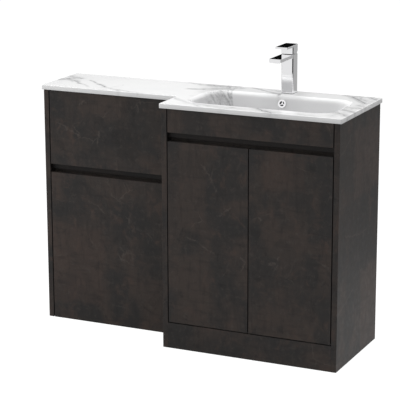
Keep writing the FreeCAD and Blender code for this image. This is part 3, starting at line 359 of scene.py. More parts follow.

# The cast stone's tones, and the painted shade in the bowl with the levels it fades in between
MARBLE_WHITE = grey(0.88)
MARBLE_CLOUD = rgb(0.84, 0.842, 0.846)
VEIN_GREY = rgb(0.17, 0.172, 0.18)
BOWL_PAINTED_SHADE = rgb(0.71, 0.71, 0.715)
BOWL_TOP = 0.806
BOWL_START = 0.788

# Veins: a core and a wider halo, in streaks that run along the veins, weaker on the slab's edges
HALO_REACH = 3.5
VEIN_HALO = 0.62
VEIN_CORE_SHARE = 0.55
EDGE_VEIN_SHARES = {FORWARD: 0.25, RIGHT: 0.55, LEFT: 0.25}
VEIN_TURN = math.radians(35)
VEIN_STRETCH = (0.22, 1, 1)

# The deck's veins fade out between these levels in the bowl
VEIN_FADE = 0.795
VEIN_END = 0.770

# The fibrous smear in the bowl's back left corner: where it starts, is fullest and stops, in metres
SMEAR_LEAN = 0.20
FIBRE_LEAN = 0.55
FIBRE_DEPTH_SHARE = 0.2
FIBRE_HEIGHT_SHARE = 0.12
SMEAR_LEVEL = 0.81
SMEAR_LEFT = -0.050
SMEAR_FULL = 0.045
SMEAR_EDGE = 0.066
SMEAR_RIGHT = 0.073
SMEAR_FRONT = 0.010
SMEAR_BACK = 0.050

# A stroke fades in and out at its ends, at these shares of its length
STROKE_BEFORE_SHARE = -0.08
STROKE_BEGUN_SHARE = 0.15
STROKE_ENDING_SHARE = 0.85
STROKE_AFTER_SHARE = 1.08

# How far a face has to turn towards a direction to count as facing it
FACING_START = 0.35
FACING_FULL = 0.65

# The middle of a noise's range
NOISE_MIDDLE = 0.5


def warped(tree, place, scale, reach):
    """The place shifted by noise, so that straight strokes wander."""
    inputs = {"Vector": place, "Scale": scale, "Detail": 4.0, "Roughness": 0.6}
    drift = tree.node("ShaderNodeTexNoise", {}, inputs).outputs["Color"]
    inputs = {0: drift, 1: (NOISE_MIDDLE, NOISE_MIDDLE, NOISE_MIDDLE)}
    centred = tree.node("ShaderNodeVectorMath", {"operation": "SUBTRACT"}, inputs)
    inputs = {0: centred.outputs[0], "Scale": reach}
    scaled = tree.node("ShaderNodeVectorMath", {"operation": "SCALE"}, inputs)
    moved = tree.node("ShaderNodeVectorMath", {"operation": "ADD"}, {0: place, 1: scaled.outputs[0]})
    return moved.outputs[0]


def stroke(tree, place, start, end, through, half_width, halo=0.0):
    """1 along a sheet that holds the line from start to end and the direction through, 0 away from it.

    A halo of that share of the strength spreads HALO_REACH times as far.
    """
    run = Vector(end) - Vector(start)
    across = run.cross(Vector(through)).normalized()
    inputs = {0: place, 1: start}
    apart = tree.node("ShaderNodeVectorMath", {"operation": "SUBTRACT"}, inputs).outputs[0]
    inputs = {0: apart, 1: run / run.length_squared}
    along = tree.node("ShaderNodeVectorMath", {"operation": "DOT_PRODUCT"}, inputs).outputs["Value"]
    inputs = {0: apart, 1: across}
    aside = tree.node("ShaderNodeVectorMath", {"operation": "DOT_PRODUCT"}, inputs).outputs["Value"]
    off = tree.combine("ABSOLUTE", aside)
    core = tree.fade(off, 0.0, half_width)
    if halo:
        spill = tree.spread(off, 0.0, half_width * HALO_REACH, halo, 0.0)
        core = tree.combine("MAXIMUM", core, spill)
    begun = tree.spread(along, STROKE_BEFORE_SHARE, STROKE_BEGUN_SHARE)
    ended = tree.fade(along, STROKE_ENDING_SHARE, STROKE_AFTER_SHARE)
    return tree.times(core, tree.times(begun, ended))


def strongest(tree, masks):
    """The largest of the masks at each point."""
    total = masks[0]
    for mask in masks[1:]:
        total = tree.combine("MAXIMUM", total, mask)
    return total


def box_mask(tree, place, low, high, soft):
    """1 inside the box from low to high on the two axes that differ, 0 outside, with soft edges."""
    sides = tree.node("ShaderNodeSeparateXYZ", {}, {"Vector": place}).outputs
    total = None
    for side, first, last in zip(sides, low, high):
        if last > first:
            begun = tree.spread(side, first - soft, first + soft)
            inside = tree.times(begun, tree.fade(side, last - soft, last + soft))
            total = inside if total is None else tree.times(total, inside)
    return total


def facing(tree, direction):
    """1 on faces that look along the direction, in the piece's own frame, 0 on the others."""
    normal = tree.node("ShaderNodeTexCoord").outputs["Normal"]
    inputs = {0: normal, 1: direction}
    along = tree.node("ShaderNodeVectorMath", {"operation": "DOT_PRODUCT"}, inputs).outputs["Value"]
    return tree.spread(along, FACING_START, FACING_FULL)


def crack_mask(tree, runs, across, mottle):
    """Broken hairlines along the runs, which lie on the face that looks along the direction across."""
    drifted = warped(tree, tree.object_place(), scale=45.0, reach=0.026)
    masks = [
        stroke(tree, drifted, first, last, across, CRACK_WIDTH)
        for run in runs for first, last in zip(run, run[1:])
    ]
    strength = tree.spread(mottle, low=0.38, high=0.62, start=0.10, end=0.58)
    return tree.times(strongest(tree, masks), strength)


def laminate_ground(tree, name, upright):
    """Brown and slate clouds, squarish blocks and the piece's own patches, with rust and soot stains."""
    clouds = tree.noise(upright, scale=8.0, detail=6.0, roughness=0.6, distortion=0.5)
    colour = tree.blend(tree.spread(clouds, low=0.38, high=0.60), SLATE, BROWN)
    blocks = tree.node("ShaderNodeTexVoronoi", {"distance": "CHEBYCHEV"}, {"Vector": upright, "Scale": 7.0})
    block_shade = tree.node("ShaderNodeSeparateColor", {}, {"Color": blocks.outputs["Color"]}).outputs[0]
    colour = tree.blend(tree.spread(block_shade, low=0.55, high=1.0, end=0.5), colour, SLATE)
    edged = warped(tree, warped(tree, tree.object_place(), scale=7.0, reach=0.08), scale=22.0, reach=0.03)
    for low, high, tone, share in PATCHES.get(name, []):
        mask = box_mask(tree, edged, low, high, PATCH_SOFTNESS)
        colour = tree.blend(tree.times(mask, share), colour, tone)
    stains = tree.noise(upright, scale=24.0, detail=6.0, roughness=0.65, distortion=0.6)
    colour = tree.blend(tree.spread(stains, low=0.51, high=0.70, end=0.72), colour, RUST)
    return tree.blend(tree.spread(stains, low=0.28, high=0.46, start=0.62, end=0.0), colour, SOOT)


def laminate_cracks(tree, name, own, mottle):
    """Faint broken hairlines all over, and the piece's own cracks."""
    bent = warped(tree, own, scale=14.0, reach=0.05)
    cells = tree.node("ShaderNodeTexVoronoi", {"feature": "DISTANCE_TO_EDGE"}, {"Vector": bent, "Scale": 6.0})
    lines = tree.fade(cells.outputs["Distance"], 0.0, HAIRLINE_WIDTH)
    broken = tree.spread(tree.noise(own, scale=12.0), low=0.54, high=0.66, end=0.42)
    cracks = tree.times(lines, broken)
    if name in CRACKS:
        across, runs = CRACKS[name]
        cracks = tree.combine("MAXIMUM", cracks, crack_mask(tree, runs, across, mottle))
    return cracks


def laminate(name, seed):
    """Dark stone-look laminate: a clouded ground, a pale mottle, brush marks, thin cracks and painted shade
    in gaps and recesses.
    """
    material, tree = new_material("laminate_" + name)
    shift = tuple(seed * step for step in SEED_STEPS)
    own = tree.object_place(shift)
    colour = laminate_ground(tree, name, tree.object_place(shift, CLOUD_STRETCH))
    mottle = tree.noise(own, scale=60.0, detail=7.0, roughness=0.7, distortion=0.3)
    colour = tree.blend(tree.spread(mottle, low=0.48, high=0.76, end=0.6), colour, PALE)
    for stretch in BRUSHINGS:
        marks = tree.noise(tree.object_place(shift, stretch), scale=75.0, detail=4.0, roughness=0.55)
        colour = tree.blend(tree.spread(marks, low=0.48, high=0.75, end=0.36), colour, SOOT)
    cracks = laminate_cracks(tree, name, own, mottle)
    colour = tree.blend(cracks, colour, CRACK_TONE)
    # Painted shade on the faces that look into gaps and recesses
    for direction in SHADE_PAINTED_FACES.get(name, []):
        colour = tree.blend(tree.times(facing(tree, direction), PAINTED_GAP_SHADE_SHARE), colour, PAINTED_GAP_SHADE)
    tree.surface(Base_Color=colour, Roughness=tree.spread(mottle, low=0.3, high=0.7, start=0.44, end=0.56))
    relief = tree.combine("MULTIPLY_ADD", cracks, CRACK_RELIEF, mottle)
    tree.surface(Specular_IOR_Level=0.15, Normal=tree.bump(relief, strength=0.15, distance=0.0008))
    return material


def bowl_smear(tree, place):
    """Leaning grey fibres that gather to a sharp right edge on the bowl's back wall."""
    across, depth, height = tree.node("ShaderNodeSeparateXYZ", {}, {"Vector": place}).outputs
    drop = tree.combine("SUBTRACT", height, SMEAR_LEVEL)
    lean = tree.combine("MULTIPLY_ADD", drop, SMEAR_LEAN, across)
    parts = {
        "X": tree.combine("MULTIPLY_ADD", drop, FIBRE_LEAN, across),
        "Y": tree.times(depth, FIBRE_DEPTH_SHARE),
        "Z": tree.times(height, FIBRE_HEIGHT_SHARE),
    }
    fibre_place = tree.node("ShaderNodeCombineXYZ", {}, parts).outputs[0]
    fibres = tree.noise(fibre_place, scale=180.0, detail=5.0, roughness=0.65)
    gather = tree.spread(lean, SMEAR_LEFT, SMEAR_FULL)
    stop = tree.fade(lean, SMEAR_EDGE, SMEAR_RIGHT)
    behind = tree.spread(depth, SMEAR_FRONT, SMEAR_BACK)
    region = tree.times(tree.times(gather, stop), behind)
    return tree.times(region, tree.spread(fibres, low=0.36, high=0.60, start=0.12, end=0.64))


def deck_veins(tree, drifted, height):
    """One mask for each vein of the deck, faded out down in the bowl and on the slab's edges."""
    near_deck = tree.spread(height, VEIN_END, VEIN_FADE)
    for direction, share in EDGE_VEIN_SHARES.items():
        off_edge = tree.spread(facing(tree, direction), low=0.0, high=1.0, start=1.0, end=share)
        near_deck = tree.times(near_deck, off_edge)
    masks = []
    for start, end, half_width, strength in DECK_VEINS:
        core = half_width * VEIN_CORE_SHARE
        mask = stroke(tree, drifted, (*start, 0), (*end, 0), UP, core, VEIN_HALO)
        masks.append(tree.times(tree.times(mask, strength), near_deck))
    return masks


def faint_lines(tree, place, drifted):
    """Sparse hairlines where a noise crosses its middle value."""
    above = tree.combine("SUBTRACT", tree.noise(drifted, scale=4.0), NOISE_MIDDLE)
    lines = tree.spread(tree.combine("ABSOLUTE", above), low=0.0, high=0.02, start=0.22, end=0.0)
    sparse = tree.spread(tree.noise(place, scale=5.0, detail=2.0), low=0.52, high=0.66)
    return tree.times(lines, sparse)


def vein_streaks(tree, drifted):
    """An uneven strength in fine streaks along the veins' main direction."""
    inputs = {"Vector": drifted, "Rotation": (0, 0, VEIN_TURN)}
    along_veins = tree.node("ShaderNodeMapping", {}, inputs).outputs[0]
    inputs = {"Vector": along_veins, "Scale": VEIN_STRETCH}
    stretched = tree.node("ShaderNodeMapping", {}, inputs).outputs[0]
    streaks = tree.noise(stretched, scale=130.0, detail=5.0, roughness=0.65)
    return tree.spread(streaks, low=0.36, high=0.60, start=0.38)


def marble():
    """Gloss white cast stone with grey veins, which run through the casting as sheets, and painted shade in
    the bowl.
    """
    material, tree = new_material("cast_marble")
    place = tree.object_place()
    height = tree.node("ShaderNodeSeparateXYZ", {}, {"Vector": place}).outputs["Z"]
    clouds = tree.noise(place, scale=6.0, detail=4.0)
    colour = tree.blend(tree.spread(clouds, low=0.35, high=0.75), MARBLE_WHITE, MARBLE_CLOUD)
    # Painted shade: the marble turns grey down into the bowl, fading in below the rim
    colour = tree.blend(tree.fade(height, BOWL_START, BOWL_TOP), colour, BOWL_PAINTED_SHADE)
    drifted = warped(tree, warped(tree, place, scale=11.0, reach=0.030), scale=50.0, reach=0.014)
    masks = deck_veins(tree, drifted, height)
    masks.append(bowl_smear(tree, warped(tree, place, scale=35.0, reach=0.012)))
    masks.append(faint_lines(tree, place, drifted))
    veins = tree.times(strongest(tree, masks), vein_streaks(tree, drifted))
    tree.surface(Base_Color=tree.blend(veins, colour, VEIN_GREY), Roughness=0.12)
    return material


# Metal, wood and plastic

CHROME_TONE = rgb(0.86, 0.86, 0.87)
NICKEL_DARK = rgb(0.55, 0.54, 0.52)
NICKEL_LIGHT = rgb(0.66, 0.65, 0.63)
BRASS_DARK = rgb(0.62, 0.44, 0.17)
BRASS_LIGHT = rgb(0.76, 0.58, 0.28)
BEECH_PALE = rgb(0.60, 0.42, 0.25)
BEECH_DARK = rgb(0.48, 0.31, 0.17)
BEECH_FLECK = rgb(0.30, 0.18, 0.10)
RUBBER_LIGHT = rgb(0.030, 0.030, 0.031)
RUBBER_DARK = rgb(0.022, 0.022, 0.023)
WHITE_PLASTIC_LIGHT = rgb(0.86, 0.86, 0.85)
WHITE_PLASTIC_DARK = rgb(0.80, 0.80, 0.79)
GREY_PLASTIC_LIGHT = rgb(0.36, 0.36, 0.37)
GREY_PLASTIC_DARK = rgb(0.30, 0.30, 0.31)
GRAIN_STRETCH = (0.06, 1, 1)
FLECK_STRETCH = (0.25, 1, 1)

# How much rougher a drawn metal and a moulded plastic get along their lines and grain
LINE_ROUGHNESS = 0.14
GRAIN_ROUGHNESS = 0.12


def chrome():
    """Polished plate with faint smears."""
    material, tree = new_material("chrome_plate")
    smears = tree.noise(tree.object_place(), scale=90.0, detail=4.0)
    tree.surface(Base_Color=CHROME_TONE, Metallic=1.0)
    tree.surface(Roughness=tree.spread(smears, low=0.3, high=0.8, start=0.012, end=0.03))
    return material


def drawn_metal(name, dark, light, stretch, scale, roughness):
    """Plated or machined metal with fine lines round it."""
    material, tree = new_material(name)
    lines = tree.noise(tree.object_place(stretch=(1, 1, stretch)), scale)
    shade = tree.blend(tree.spread(lines, low=0.35, high=0.7), dark, light)
    rough = tree.spread(lines, low=0.3, high=0.7, start=roughness, end=roughness + LINE_ROUGHNESS)
    tree.surface(Base_Color=shade, Metallic=1.0, Roughness=rough)
    return material


def beech():
    """Turned beech with grain along X and short dark flecks."""
    material, tree = new_material("beech")
    grain = tree.noise(tree.object_place(stretch=GRAIN_STRETCH), scale=420.0, detail=4.0)
    flecks = tree.noise(tree.object_place(stretch=FLECK_STRETCH), scale=900.0, detail=2.0)
    colour = tree.blend(tree.spread(grain, low=0.35, high=0.7), BEECH_PALE, BEECH_DARK)
    colour = tree.blend(tree.spread(flecks, low=0.66, high=0.74, end=0.6), colour, BEECH_FLECK)
    tree.surface(Base_Color=colour, Roughness=0.55, Normal=tree.bump(grain, strength=0.1, distance=0.0004))
    return material


def plastic(name, light, dark, roughness):
    """Moulded plastic with a fine spark-eroded grain."""
    material, tree = new_material(name)
    grain = tree.noise(tree.object_place(), scale=700.0, detail=2.0)
    cast = tree.noise(tree.object_place(), scale=20.0)
    colour = tree.blend(tree.spread(cast, low=0.3, high=0.7), light, dark)
    rough = tree.spread(grain, low=0.3, high=0.7, start=roughness, end=roughness + GRAIN_ROUGHNESS)
    tree.surface(Base_Color=colour, Roughness=rough)
    tree.surface(Normal=tree.bump(grain, strength=0.08, distance=0.0002))
    return material


# Camera and studio

def make_camera():
    camera = add_object("camera", bpy.data.cameras.new("camera"))
    camera.data.sensor_width = SENSOR_WIDTH
    camera.data.lens = CAMERA_LENS
    turn = Matrix.Rotation(CAMERA_YAW, 4, "Z")
    turn = turn @ Matrix.Rotation(math.pi / 2 - CAMERA_PITCH, 4, "X")
    turn = turn @ Matrix.Rotation(CAMERA_ROLL, 4, "Z")
    camera.matrix_world = Matrix.Translation(CAMERA_PLACE) @ turn
    bpy.context.scene.camera = camera


def make_world():
    """White where it is seen, straight or by a mirror, and a plain ambient light otherwise."""
    world = bpy.data.worlds.new("studio")
    bpy.context.scene.world = world
    world.use_nodes = True
    tree = Tree(world.node_tree)
    background = world.node_tree.nodes["Background"].inputs
    tree.feed(background["Color"], WHITE)
    path = tree.node("ShaderNodeLightPath").outputs
    seen = strongest(tree, [path[ray] for ray in ("Is Camera Ray", "Is Glossy Ray", "Is Transmission Ray")])
    strength = tree.spread(seen, low=0.0, high=1.0, start=AMBIENT, smooth=False)
    tree.feed(background["Strength"], strength)


def lit_and_glowing(tree, shade, glow):
    """A matt grey that keeps its shadows, over a plain white glow."""
    matt = tree.node("ShaderNodeBsdfDiffuse", {}, {"Color": grey(shade)})
    light = tree.node("ShaderNodeEmission", {}, {"Color": WHITE, "Strength": glow})
    both = tree.node("ShaderNodeAddShader", {}, {0: matt.outputs[0], 1: light.outputs[0]})
    return both.outputs[0]


def mirrored_floor(tree):
    """What polished surfaces see of the floor: brighter to the front and near one spot."""
    place = tree.object_place()
    depth = tree.node("ShaderNodeSeparateXYZ", {}, {"Vector": place}).outputs["Y"]
    front_glow = tree.spread(depth, *MIRRORED_DEPTHS, MIRRORED_FRONT, MIRRORED_BACK)
    inputs = {0: place, 1: MIRRORED_SPOT}
    away = tree.node("ShaderNodeVectorMath", {"operation": "DISTANCE"}, inputs).outputs["Value"]
    glow = tree.combine("MAXIMUM", front_glow, tree.fade(away, SPOT_CORE, SPOT_REACH))
    return tree.node("ShaderNodeEmission", {}, {"Color": WHITE, "Strength": glow}).outputs[0]


def floor_material():
    """White with the unit's shadow where it is seen, uneven in mirrors, matt to other light."""
    material, tree = new_material("studio_floor")
    path = tree.node("ShaderNodeLightPath").outputs
    bounce = tree.node("ShaderNodeBsdfDiffuse", {}, {"Color": grey(FLOOR_BOUNCE)}).outputs[0]
    seen = lit_and_glowing(tree, FLOOR_SHADOW, FLOOR_GLOW)
    inputs = {0: path["Is Glossy Ray"], 1: bounce, 2: mirrored_floor(tree)}
    unseen = tree.node("ShaderNodeMixShader", {}, inputs).outputs[0]
    straight = tree.combine("MAXIMUM", path["Is Camera Ray"], path["Is Transmission Ray"])
    inputs = {0: straight, 1: unseen, 2: seen}
    mixed = tree.node("ShaderNodeMixShader", {}, inputs).outputs[0]
    tree.feed(material.node_tree.nodes["Material Output"].inputs["Surface"], mixed)
    return material


def make_floor():
    mesh = bpy.data.meshes.new("floor")
    half = FLOOR_SIZE / 2
    corners = [(-half, -half, 0), (half, -half, 0), (half, half, 0), (-half, half, 0)]
    mesh.from_pydata(corners, [], [(0, 1, 2, 3)])
    mesh.materials.append(floor_material())
    floor = add_object("floor", mesh)


def dark_card(name, radius, middle, half, low, high):
    """A curved dark card round the unit, which shows only in polished surfaces."""
    points = []
    for step in range(CARD_STEPS + 1):
        angle = middle + half * (2 * step / CARD_STEPS - 1)
        for height in (low, high):
            points.append((radius * math.cos(angle), radius * math.sin(angle), height))
    faces = [(2 * step, 2 * step + 2, 2 * step + 3, 2 * step + 1) for step in range(CARD_STEPS)]
    mesh = bpy.data.meshes.new(name)
    mesh.from_pydata(points, [], faces)
    material, tree = new_material(name)
    tree.surface(Base_Color=grey(CARD_SHADE), Roughness=1.0, Specular_IOR_Level=0.0)
    mesh.materials.append(material)
    card = add_object(name, mesh)
    card.visible_camera = False
    card.visible_diffuse = False
    card.visible_shadow = False
    card.visible_transmission = False


def softbox(name, place, aim, size, power):
    """A square area lamp that faces a point."""
    lamp = bpy.data.lights.new(name, "AREA")
    lamp.shape = "SQUARE"
    lamp.size = size
    lamp.energy = power
    box = add_object(name, lamp)
    box.visible_camera = False
    box.visible_glossy = False
    box.location = place
    box.rotation_euler = (Vector(aim) - Vector(place)).to_track_quat("-Z", "Y").to_euler()


# Pieces that the solids leave plain

SMOOTH_ANGLE = math.radians(35)
JOIN_REACH = 0.00002
ROUND_STEPS = 48

# The overflow's insert, and the black sleeve behind it: a real part, closed and black as painted shade for
# the duct
OVERFLOW_PLACE = Vector((0.250, 0.09097, 0.782))
OVERFLOW_TILT = math.radians(-12)
OVERFLOW_BORE = 0.0079
SPIDER_ARMS = 3
SPIDER_HUB = 0.0030
SPIDER_ARM = 0.0013
SPIDER_SINK = 0.0010
SPIDER_THICKNESS = 0.0025
SPIDER_STEPS = 10
SLEEVE_RADIUS = 0.0078
SLEEVE_WALL = 0.0008
SLEEVE_START = 0.0036
SLEEVE_END = 0.0110

# The nuts on the waste's tail and the finger ribs round them
NUT_STEPS = 144
NUT_CHAMFER = 0.0012
NUT_GRIP_SHARE = 0.65
NUT_SHOULDER_SHARE = 0.88
TAIL_RADIUS = 0.0209
TAIL_CLEARANCE = 0.0001
RIB_COUNT = 24
RIB_DEPTH = 0.0013

# The trap's cup, from its foot round to the inside: shares of its radius and height, and the grip of its ribs
CUP_SHARES = [
    (0.40, 0.00, 0), (0.70, 0.00, 0), (0.86, 0.015, 0), (0.95, 0.045, 0), (0.99, 0.09, 0), (1.0, 0.12, 1),
    (1.0, 0.42, 1), (0.99, 0.44, 0), (0.94, 0.48, 0), (0.94, 0.84, 0), (0.99, 0.87, 0), (1.0, 0.89, 0),
    (1.0, 0.98, 0), (0.985, 1.00, 0), (0.865, 1.00, 0), (0.865, 0.05, 0),
]

# Screws and bolts: nodes with the directions their heads look along, then sizes
SCREW_SETS = {
    "fascia_screws": [BACKWARD],
    "wc_panel_screws": [BACKWARD],
    "hinge_screws_left": [RIGHT],
    "hinge_screws_right": [LEFT],
}
SCREW_STEPS = 28
SCREW_HEAD = 0.0020
SCREW_SHANK = 0.0020
SCREW_PITCH = 0.0016
BOLT_HEAD = 0.0025
BOLT_SHANK = 0.0030

# Shares of a screw's shank: its tip, the root, crest and neck of its thread, and where that runs
TIP_SHARE = 0.25
ROOT_SHARE = 0.72
CREST_SHARE = 0.98
NECK_SHARE = 0.90
THREADED_SHARE = 0.80
THREAD_START_SHARE = 0.95

# Shares of a head's radius and height up its round edge, and those of its recess
HEAD_SHARES = [(1.0, 0.45), (0.92, 0.8), (0.76, 1.0)]
CROSS_ARM_SHARE = 0.55
CROSS_HALF_SHARE = 0.14
SOCKET_SHARE = 0.50
RECESS_SHARE = 0.62
RECESS_TAPER = 0.75

# The threads of the waste and the tap's stud
THREAD_STEPS = 24
THREAD_SINK = 0.0004
THREAD_HALF_SHARE = 0.45
WASTE_PITCH = 0.0023
WASTE_CREST = 0.0007
STUD_RADIUS = 0.0040
STUD_PITCH = 0.00125
STUD_CREST = 0.0004

# The aerator's grid of rings and spokes in its bore
GRID_RINGS = (0.0012, 0.0030, 0.0048)
GRID_BAR = 0.0006
GRID_SPOKES = 12
GRID_SINK = 0.0012
AERATOR_BORE = 0.0062


def add_piece(name, body, slot, replaced, build, *details):
    """A mesh piece that build fills from the details, riding on a body, perhaps in a node's place."""
    mesh = bpy.data.meshes.new(name)
    form = bmesh.new()
    build(form, *details)
    bmesh.ops.recalc_face_normals(form, faces=form.faces)
    form.to_mesh(mesh)
    form.free()
    mesh.shade_smooth()
    mesh.set_sharp_from_angle(angle=SMOOTH_ANGLE)
    mesh.materials.append(SLOT_FINISHES[slot])
    piece = add_object(name, mesh)
    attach(piece, body)
    if replaced:
        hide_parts(replaced)


def spider_outline():
    """A round hub with arms that reach the bore, as a loop of points across the overflow's axis."""
    points = []
    spread = math.asin(SPIDER_ARM / OVERFLOW_BORE)
    leave = math.asin(SPIDER_ARM / SPIDER_HUB)
    turn = 2 * math.pi / SPIDER_ARMS - 2 * leave
    for arm in range(SPIDER_ARMS):
        middle = math.pi / 2 + arm * 2 * math.pi / SPIDER_ARMS
        for angle in (middle - spread, middle + spread):
            points.append((OVERFLOW_BORE * math.cos(angle), OVERFLOW_BORE * math.sin(angle)))
        for step in range(SPIDER_STEPS + 1):
            angle = middle + leave + turn * step / SPIDER_STEPS
            points.append((SPIDER_HUB * math.cos(angle), SPIDER_HUB * math.sin(angle)))
    return points


def build_spider(form):
    """The overflow's insert, square to its bore."""
    turn = Matrix.Translation(OVERFLOW_PLACE) @ Matrix.Rotation(OVERFLOW_TILT, 4, "X")
    corners = [form.verts.new(turn @ Vector((x, SPIDER_SINK, z))) for x, z in spider_outline()]
    face = form.faces.new(corners)
    raised = bmesh.ops.extrude_face_region(form, geom=[face])["geom"]
    depth = turn.to_3x3() @ Vector((0, SPIDER_THICKNESS, 0))
    far_corners = [made for made in raised if isinstance(made, bmesh.types.BMVert)]
    bmesh.ops.translate(form, verts=far_corners, vec=depth)


def turned(form, place, rows, steps, ribs=0, depth=0.0, hollow=False):
    """Rings of (radius, height, grip) about the place's Z axis, skinned, and joined end to end if hollow.

    Between two ribs a ring sinks by up to depth times its grip.
    """
    rings = []
    for radius, height, grip in rows:
        ring = []
        for step in range(steps):
            angle = 2 * math.pi * step / steps
            reach = radius - depth * grip * (1 - math.cos(angle * ribs)) / 2
            point = Vector((reach * math.cos(angle), reach * math.sin(angle), height))
            ring.append(form.verts.new(place @ point))
        rings.append(ring)
    pairs = list(zip(rings, rings[1:]))
    if hollow:
        pairs.append((rings[-1], rings[0]))
    for lower, upper in pairs:
        for step in range(steps):
            after = (step + 1) % steps
            form.faces.new((lower[step], lower[after], upper[after], upper[step]))
    return rings


def build_shade_sleeve(form):
    """A closed dark cup behind the overflow's spider: the insert's sleeve, with painted shade for the dark
    duct beyond.
    """
    place = Matrix.Translation(OVERFLOW_PLACE) @ Matrix.Rotation(OVERFLOW_TILT - math.pi / 2, 4, "X")
    inner = SLEEVE_RADIUS - SLEEVE_WALL
    rows = [
        (SLEEVE_RADIUS, SLEEVE_END, 0), (SLEEVE_RADIUS, SLEEVE_START, 0), (inner, SLEEVE_START, 0),
        (inner, SLEEVE_END - SLEEVE_WALL, 0),
    ]
    rings = turned(form, place, rows, ROUND_STEPS)
    form.faces.new(rings[0])
    form.faces.new(rings[-1])


def node_size(name):
    """The middle of a node's foot, its radius along X and its height."""
    low, high = [Vector(corner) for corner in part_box(name)]
    foot = Vector(((low.x + high.x) / 2, (low.y + high.y) / 2, low.z))
    return foot, (high.x - low.x) / 2, high.z - low.z


def build_nut(form, name):
    """A round nut with finger ribs and a plain shoulder, in the node's own space."""
    foot, outer, height = node_size(name)
    bore = TAIL_RADIUS + TAIL_CLEARANCE
    grip_end = height * NUT_GRIP_SHARE
    shoulder = outer * NUT_SHOULDER_SHARE
    rows = [
        (bore, 0, 0), (outer - NUT_CHAMFER, 0, 1), (outer, NUT_CHAMFER, 1), (outer, grip_end, 1),
        (outer - NUT_CHAMFER, grip_end + NUT_CHAMFER, 1), (shoulder, grip_end + NUT_CHAMFER, 0),
        (shoulder, height, 0), (bore, height, 0),
    ]
    turned(form, Matrix.Translation(foot), rows, NUT_STEPS, ribs=RIB_COUNT, depth=RIB_DEPTH, hollow=True)


def build_cup(form):
    """The trap's cup, open at the top, with finger ribs."""
    foot, outer, height = node_size("trap_cup")
    rows = [(outer * across, height * up, grip) for across, up, grip in CUP_SHARES]
    rings = turned(form, Matrix.Translation(foot), rows, NUT_STEPS, ribs=RIB_COUNT, depth=RIB_DEPTH)
    form.faces.new(rings[0])
    form.faces.new(rings[-1])


def joined_points(first, seen):
    """The places of all points that edges join to the first one; their numbers go into seen."""
    seen.add(first.index)
    waiting = [first]
    places = []
    while waiting:
        point = waiting.pop()
        places.append(point.co.copy())
        for edge in point.link_edges:
            other = edge.other_vert(point)
            if other.index not in seen:
                seen.add(other.index)
                waiting.append(other)
    return places


def node_solids(name):
    """The low and high corners of each separate solid of a node."""
    form = bmesh.new()
    form.from_mesh(frame["nodes"][name].data)
    bmesh.ops.remove_doubles(form, verts=form.verts, dist=JOIN_REACH)
    form.verts.index_update()
    seen = set()
    boxes = []
    for first in form.verts:
        if first.index not in seen:
            axes = list(zip(*joined_points(first, seen)))
            boxes.append((Vector([min(axis) for axis in axes]), Vector([max(axis) for axis in axes])))
    form.free()
    return boxes


def cross_outline(radius):
    """The outline of a cross recess in a head of that radius."""
    arm = radius * CROSS_ARM_SHARE
    half = radius * CROSS_HALF_SHARE
    points = []
    for quarter in range(4):
        turn = Matrix.Rotation(quarter * math.pi / 2, 2)
        points += [turn @ Vector(point) for point in ((arm, -half), (arm, half), (half, half))]
    return points


def hexagon_outline(radius):
    """The outline of a hexagon socket in a head of that radius."""
    corner = Vector((radius * SOCKET_SHARE, 0))
    return [Matrix.Rotation(side * math.pi / 3, 2) @ corner for side in range(6)]


def sink_recess(form, place, rim, outline, level, depth):
    """Closes a head's rim with a face that has the outline sunk into it."""
    mouth = [form.verts.new(place @ Vector((*point, level))) for point in outline]
    floor = [form.verts.new(place @ Vector((*(point * RECESS_TAPER), level - depth))) for point in outline]
    edges = []
    for loop in (rim, mouth):
        for first, second in zip(loop, loop[1:] + loop[:1]):
            edges.append(form.edges.get((first, second)) or form.edges.new((first, second)))
    bmesh.ops.triangle_fill(form, use_beauty=True, edges=edges)
    for index in range(len(outline)):
        after = (index + 1) % len(outline)
        form.faces.new((mouth[index], mouth[after], floor[after], floor[index]))
    form.faces.new(floor)


def build_screw(form, place, radius, head, shank, length, outline):
    """A pan-head screw; its head sits on the place's origin and looks along the place's Z axis."""
    rows = [(shank * TIP_SHARE, -length, 0)]
    for turn in range(int(length * THREADED_SHARE / SCREW_PITCH)):
        start = -length * THREAD_START_SHARE + turn * SCREW_PITCH
        rows += [(shank * ROOT_SHARE, start, 0), (shank * CREST_SHARE, start + SCREW_PITCH / 2, 0)]
    rows += [(shank * NECK_SHARE, -SCREW_PITCH, 0), (shank * CREST_SHARE, 0, 0), (radius, 0, 0)]
    rows += [(radius * across, head * up, 0) for across, up in HEAD_SHARES]
    rings = turned(form, place, rows, SCREW_STEPS)
    form.faces.new(rings[0])
    sink_recess(form, place, rings[-1], outline, head, head * RECESS_SHARE)


def build_fasteners(form, name, directions, head, shank, outline_of):
    """One screw per solid of a node, or one from each end, with heads that look along the directions."""
    for low, high in node_solids(name):
        middle = (low + high) / 2
        for direction in directions:
            out = Vector(direction)
            reach = abs((high - low).dot(out))
            radius = (high.z - low.z) / 2
            seat = middle + out * (reach / 2 - head)
            length = reach / len(directions) - head
            place = Matrix.Translation(seat) @ out.to_track_quat("Z", "Y").to_matrix().to_4x4()
            build_screw(form, place, radius, head, shank, length, outline_of(radius))


def build_thread(form, centre, radius, low, high, pitch, crest):
    """A helical ridge about an upright axis."""
    steps = int((high - low - pitch) / pitch * THREAD_STEPS)
    foot = radius - THREAD_SINK
    half = pitch * THREAD_HALF_SHARE
    section = [(foot, -half), (radius + crest, 0), (foot, half)]
    slices = []
    for step in range(steps + 1):
        angle = 2 * math.pi * step / THREAD_STEPS
        level = low + pitch / 2 + pitch * step / THREAD_STEPS
        out = Vector((math.cos(angle), math.sin(angle), 0))
        points = [Vector((*centre, level + rise)) + out * reach for reach, rise in section]
        slices.append([form.verts.new(point) for point in points])
    for first, second in zip(slices, slices[1:]):
        for corner in range(len(section)):
            after = (corner + 1) % len(section)
            form.faces.new((first[corner], first[after], second[after], second[corner]))
    form.faces.new(slices[0])
    form.faces.new(slices[-1])


